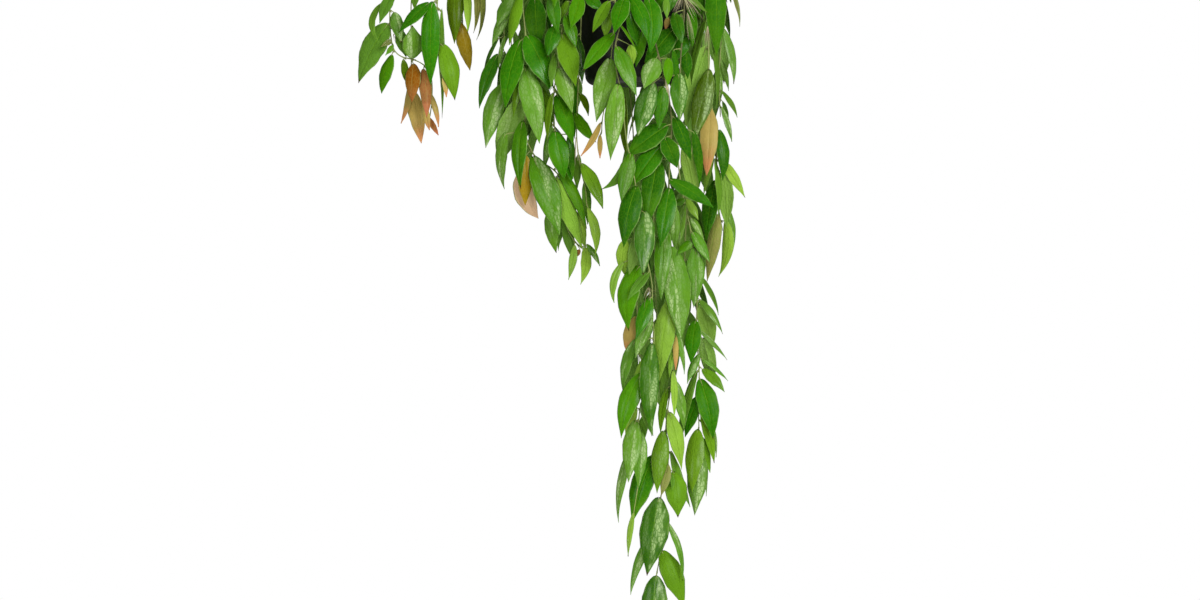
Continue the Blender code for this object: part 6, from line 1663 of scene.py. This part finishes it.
def make_hanger(surface):
    """The hanger: a round hook on a turned boss, three thin straps and the clips under the rim band."""
    skin = Skin()
    hook = [p * CM for p in catmull_rom([p / CM for p in hook_line()], 0.16)]
    sizes = [1.0] * (len(hook) - len(HOOK_END)) + list(HOOK_END)
    sweep(skin, hook, circle(HOOK_BAR, 14), Vector((0, 1, 0)), scales=sizes)
    boss = [(BOSS_RADIUS * share, z) for share, z in BOSS_PROFILE]
    turned(skin, boss, 36, BOSS_Z)
    bar = rounded_bar(STRAP_WIDTH, STRAP_THICK, STRAP_SOFT)
    lip_bar = rounded_bar(STRAP_WIDTH, CLIP_LIP, CLIP_LIP_SOFT)
    for angle in STRAP_ANGLES:
        a = math.radians(angle)
        outward = polar(a, 1.0, 0.25).normalized()
        line = [p * CM for p in catmull_rom([p / CM for p in strap_line(angle)], 0.5)]
        sweep(skin, line, bar, outward)
        lip_z = RIM_Z - RIM_BAND_HEIGHT - FIT_GAP - CLIP_LIP_DROP
        lip = [polar(a, RIM_RADIUS + past, lip_z) for past in CLIP_LIP_RUN]
        sweep(skin, lip, lip_bar, Vector((0, 0, 1)), scales=CLIP_LIP_SIZES)
        for height in CLIP_RIBS:
            pad = polar(a) * (RIM_RADIUS + FIT_GAP + STRAP_THICK * 0.9)
            pad.z = RIM_Z + height
            ends = (-CLIP_RIB_HALF, CLIP_RIB_HALF)
            rib = [pad + Vector((-math.sin(a), math.cos(a), 0)) * w * STRAP_WIDTH for w in ends]
            sweep(skin, rib, rounded_bar(*CLIP_RIB_BAR), polar(a))
    hanger = skin.build("hanger", [surface])
    finish_piece(hanger, "hanger_plastic", "pot_hanger", sharp=38)


CRUST_RINGS = 22
LUMPY_DEPTH = 0.0045  # how deep the crust is lumpy
LUMP_SINK = 0.0012  # how far its middle level sinks for that
CHIP_COUNT = 170  # chips of bark that lie on the mix
CHIP_SIZE = (0.0014, 0.0048)
CHIP_EDGE = 0.006  # chips stay this far from the crust's edge


def make_mix(surface):
    """The potting mix: a lumpy crust with chips of bark lying on it."""
    chance = random.Random(MIX_SEED)
    skin = Skin()
    low = mix_low.z
    top = mix_high.z - low
    wall_slope = (POT_WALL_TOP_RADIUS - POT_BASE_RADIUS) / (POT_HEIGHT - RIM_BAND_HEIGHT - POT_CORNER)
    corner = POT_BASE_RADIUS - POT_WALL - FIT_GAP * 2
    upper = corner + wall_slope * (top - POT_CORNER)
    profile = [(0.01, 0.0), (corner - POT_CORNER, 0.0), (corner - POT_CORNER * 0.3, POT_CORNER * 0.3)]
    profile += [(corner, POT_CORNER), ((corner + upper) / 2, (POT_CORNER + top) / 2)]
    profile.append((upper - 0.0006, top - 0.004))
    for k in range(CRUST_RINGS):
        share = k / CRUST_RINGS
        profile.append(((upper - 0.0012) * (1 - share) ** 0.9, top - 0.003 * (1 - share) ** 3))
    turned(skin, profile, 96, low)
    for p in skin.points:
        if p.z > low + top - LUMPY_DEPTH:
            lump = noise.noise(p * 140) * 0.0022 + noise.noise(p * 420) * 0.0012
            p.z += lump - LUMP_SINK
    for _ in range(CHIP_COUNT):
        a, r = chance.uniform(0, math.tau), (upper - CHIP_EDGE) * math.sqrt(chance.random())
        size = chance.uniform(*CHIP_SIZE)
        stretch = Vector((size, size * chance.uniform(0.35, 0.8), size * chance.uniform(0.25, 0.5)))
        spin, tilt = chance.uniform(0, math.tau), chance.uniform(-0.5, 0.5)
        turn = Matrix.Rotation(spin, 3, "Z") @ Matrix.Rotation(tilt, 3, "X")
        middle = polar(a, r, low + top - 0.001 + stretch.z * 0.4)
        points, faces = chip_shape(chance)
        skin.put([middle + turn @ Vector([c * s for c, s in zip(p, stretch)]) for p in points], faces)
    mix = skin.build("mix_surface", [surface])
    finish_piece(mix, "potting_mix", "potting_mix", sharp=50)


def chip_shape(chance):
    """An uneven chip: two rings of six and two ends."""
    points, faces = [], []
    for z in (-0.6, 0.6):
        for a in around(6):
            r = chance.uniform(0.7, 1.1)
            points.append((math.cos(a) * r, math.sin(a) * r, z * chance.uniform(0.8, 1.2)))
    faces += [(k, (k + 1) % 6, 6 + (k + 1) % 6, 6 + k) for k in range(6)]
    points += [(0, 0, -1.0), (0, 0, 1.0)]
    faces += [(12, (k + 1) % 6, k) for k in range(6)] + [(13, 6 + k, 6 + (k + 1) % 6) for k in range(6)]
    return points, faces


def make_shoots(leaf_surfaces, stem_surfaces):
    """Every shoot: one piece for its leaves, and one for its stem with stalks, buds and dead twigs."""
    spines, room = place_leaves()
    for name, leaves in room.placed.items():
        stem_spacing(leaves, spines[name].length)
    more_chance, stem_chance = random.Random(MORE_FILL_SEED), random.Random(STEM_SEED)
    for name, leaves in room.placed.items():
        spine = spines[name]
        fill_shoot(room, name, spine, more_chance, beyond=True)
        blades, stem = Skin(), Skin()
        add_stem(stem, spine, leaves)
        for leaf in leaves:
            add_leaf(blades, leaf)
            add_stalk(stem, spine, leaf, stem_chance)
        for bunch in DEAD_TWIGS.get(name, ()):
            add_dead_twigs(stem, bunch, stem_chance)
        finish_piece(blades.build("leaves_" + name, leaf_surfaces, LEAF_KINDS, metres), "foliage", name)
        finish_piece(stem.build("stem_" + name, stem_surfaces, STEM_KINDS, metres), "foliage", name)


# ---------------------------------------------------------------- stage, light and camera
FLOOR_Z = -1.35
FLOOR_MIDDLE = 0.3  # radius inside which the floor is closed by its fan
FLOOR_RADIUS = 1.2
LOOK_AT = Vector((-0.039, -0.06, -0.790))
CAMERA_DISTANCE = 4.5
VIEW_WIDTH = 1.56
SENSOR_WIDTH = 36  # mm


def make_floor():
    """A pale round floor well below the lowest leaf."""
    skin = Skin()
    profile = [(FLOOR_MIDDLE, -0.02), (FLOOR_RADIUS, -0.02), (FLOOR_RADIUS, 0.0), (FLOOR_MIDDLE, 0.0)]
    turned(skin, profile, 96, FLOOR_Z)
    made, n, shader = start_material("pale floor", 0.7)
    place = n.add("ShaderNodeTexCoord").outputs["Object"]
    n.feed(shader["Base Color"], n.mix(n.noise(place, 6.0), (0.74, 0.73, 0.71, 1), (0.80, 0.79, 0.78, 1)))
    skin.build("floor", [made])


def make_world():
    """Plain white to look at, and a softer light all round, weakest in what shines."""
    world = bpy.data.worlds.new("studio")
    bpy.context.scene.world = world
    world.use_nodes = True
    world.node_tree.nodes.clear()
    n = Nodes(world.node_tree)
    seen, ambient = n.add("ShaderNodeBackground"), n.add("ShaderNodeBackground")
    seen.inputs["Color"].default_value = (1, 1, 1, 1)
    ambient.inputs["Color"].default_value = AMBIENT_TINT
    path = n.add("ShaderNodeLightPath").outputs
    strength = n.times(path["Is Glossy Ray"], GLOSS_AMBIENT - AMBIENT, AMBIENT)
    n.feed(ambient.inputs["Strength"], strength)
    choose = n.add("ShaderNodeMixShader", path["Is Camera Ray"], ambient.outputs[0], seen.outputs[0])
    n.add("ShaderNodeOutputWorld", choose.outputs[0])


def make_light(label, place, size, energy, tint):
    """A round light that faces the middle of the view."""
    lamp = bpy.data.lights.new(label, "AREA")
    lamp.shape = "DISK"
    lamp.size = size
    lamp.energy = energy
    lamp.color = tint
    holder = show(label, lamp)
    holder.location = place
    holder.rotation_euler = (LOOK_AT - Vector(place)).to_track_quat("-Z", "Y").to_euler()


def make_camera():
    """Straight from the front, level, at the height of the middle of the view."""
    data = bpy.data.cameras.new("camera")
    data.sensor_width = SENSOR_WIDTH
    data.lens = SENSOR_WIDTH * CAMERA_DISTANCE / VIEW_WIDTH
    camera = show("camera", data)
    camera.location = LOOK_AT - Vector((0, CAMERA_DISTANCE, 0))
    camera.rotation_euler = (math.radians(90), 0, 0)
    bpy.context.scene.camera = camera
    bpy.context.scene.view_settings.view_transform = "Standard"


# ---------------------------------------------------------------- build
leaf_pattern = leaf_pattern_group()
bark_pattern = bark_pattern_group()
moulded = moulded_group()
mature = leaf_material(
    "mature leaf", leaf_pattern, (0.17, 0.37, 0.010, 1), (0.25, 0.43, 0.09, 1),
    pebble=0.7, coat=0.5, roughness=0.4, young=False,
)
young = leaf_material(
    "young leaf", leaf_pattern, (0.42, 0.36, 0.10, 1), (0.70, 0.50, 0.32, 1),
    pebble=0.3, coat=0.2, roughness=0.45, young=True,
)
bark = bark_material("stem bark", bark_pattern, (0.26, 0.33, 0.09, 1), (0.115, 0.115, 0.042, 1), 1.0)
dead_bark = bark_material("dead twig bark", bark_pattern, (0.62, 0.57, 0.36, 1), (0.20, 0.15, 0.085, 1), 0.6)

make_pot(plastic_material("pot plastic", moulded, (0.0030, 0.0030, 0.0035, 1), 0.12, 0.5))
make_hanger(plastic_material("hanger plastic", moulded, (0.008, 0.008, 0.009, 1), 0.20, 0.45))
make_mix(mix_material())
make_shoots([mature, young], [bark, dead_bark])

make_floor()
make_world()
for light in LIGHTS:
    make_light(*light)
make_camera()
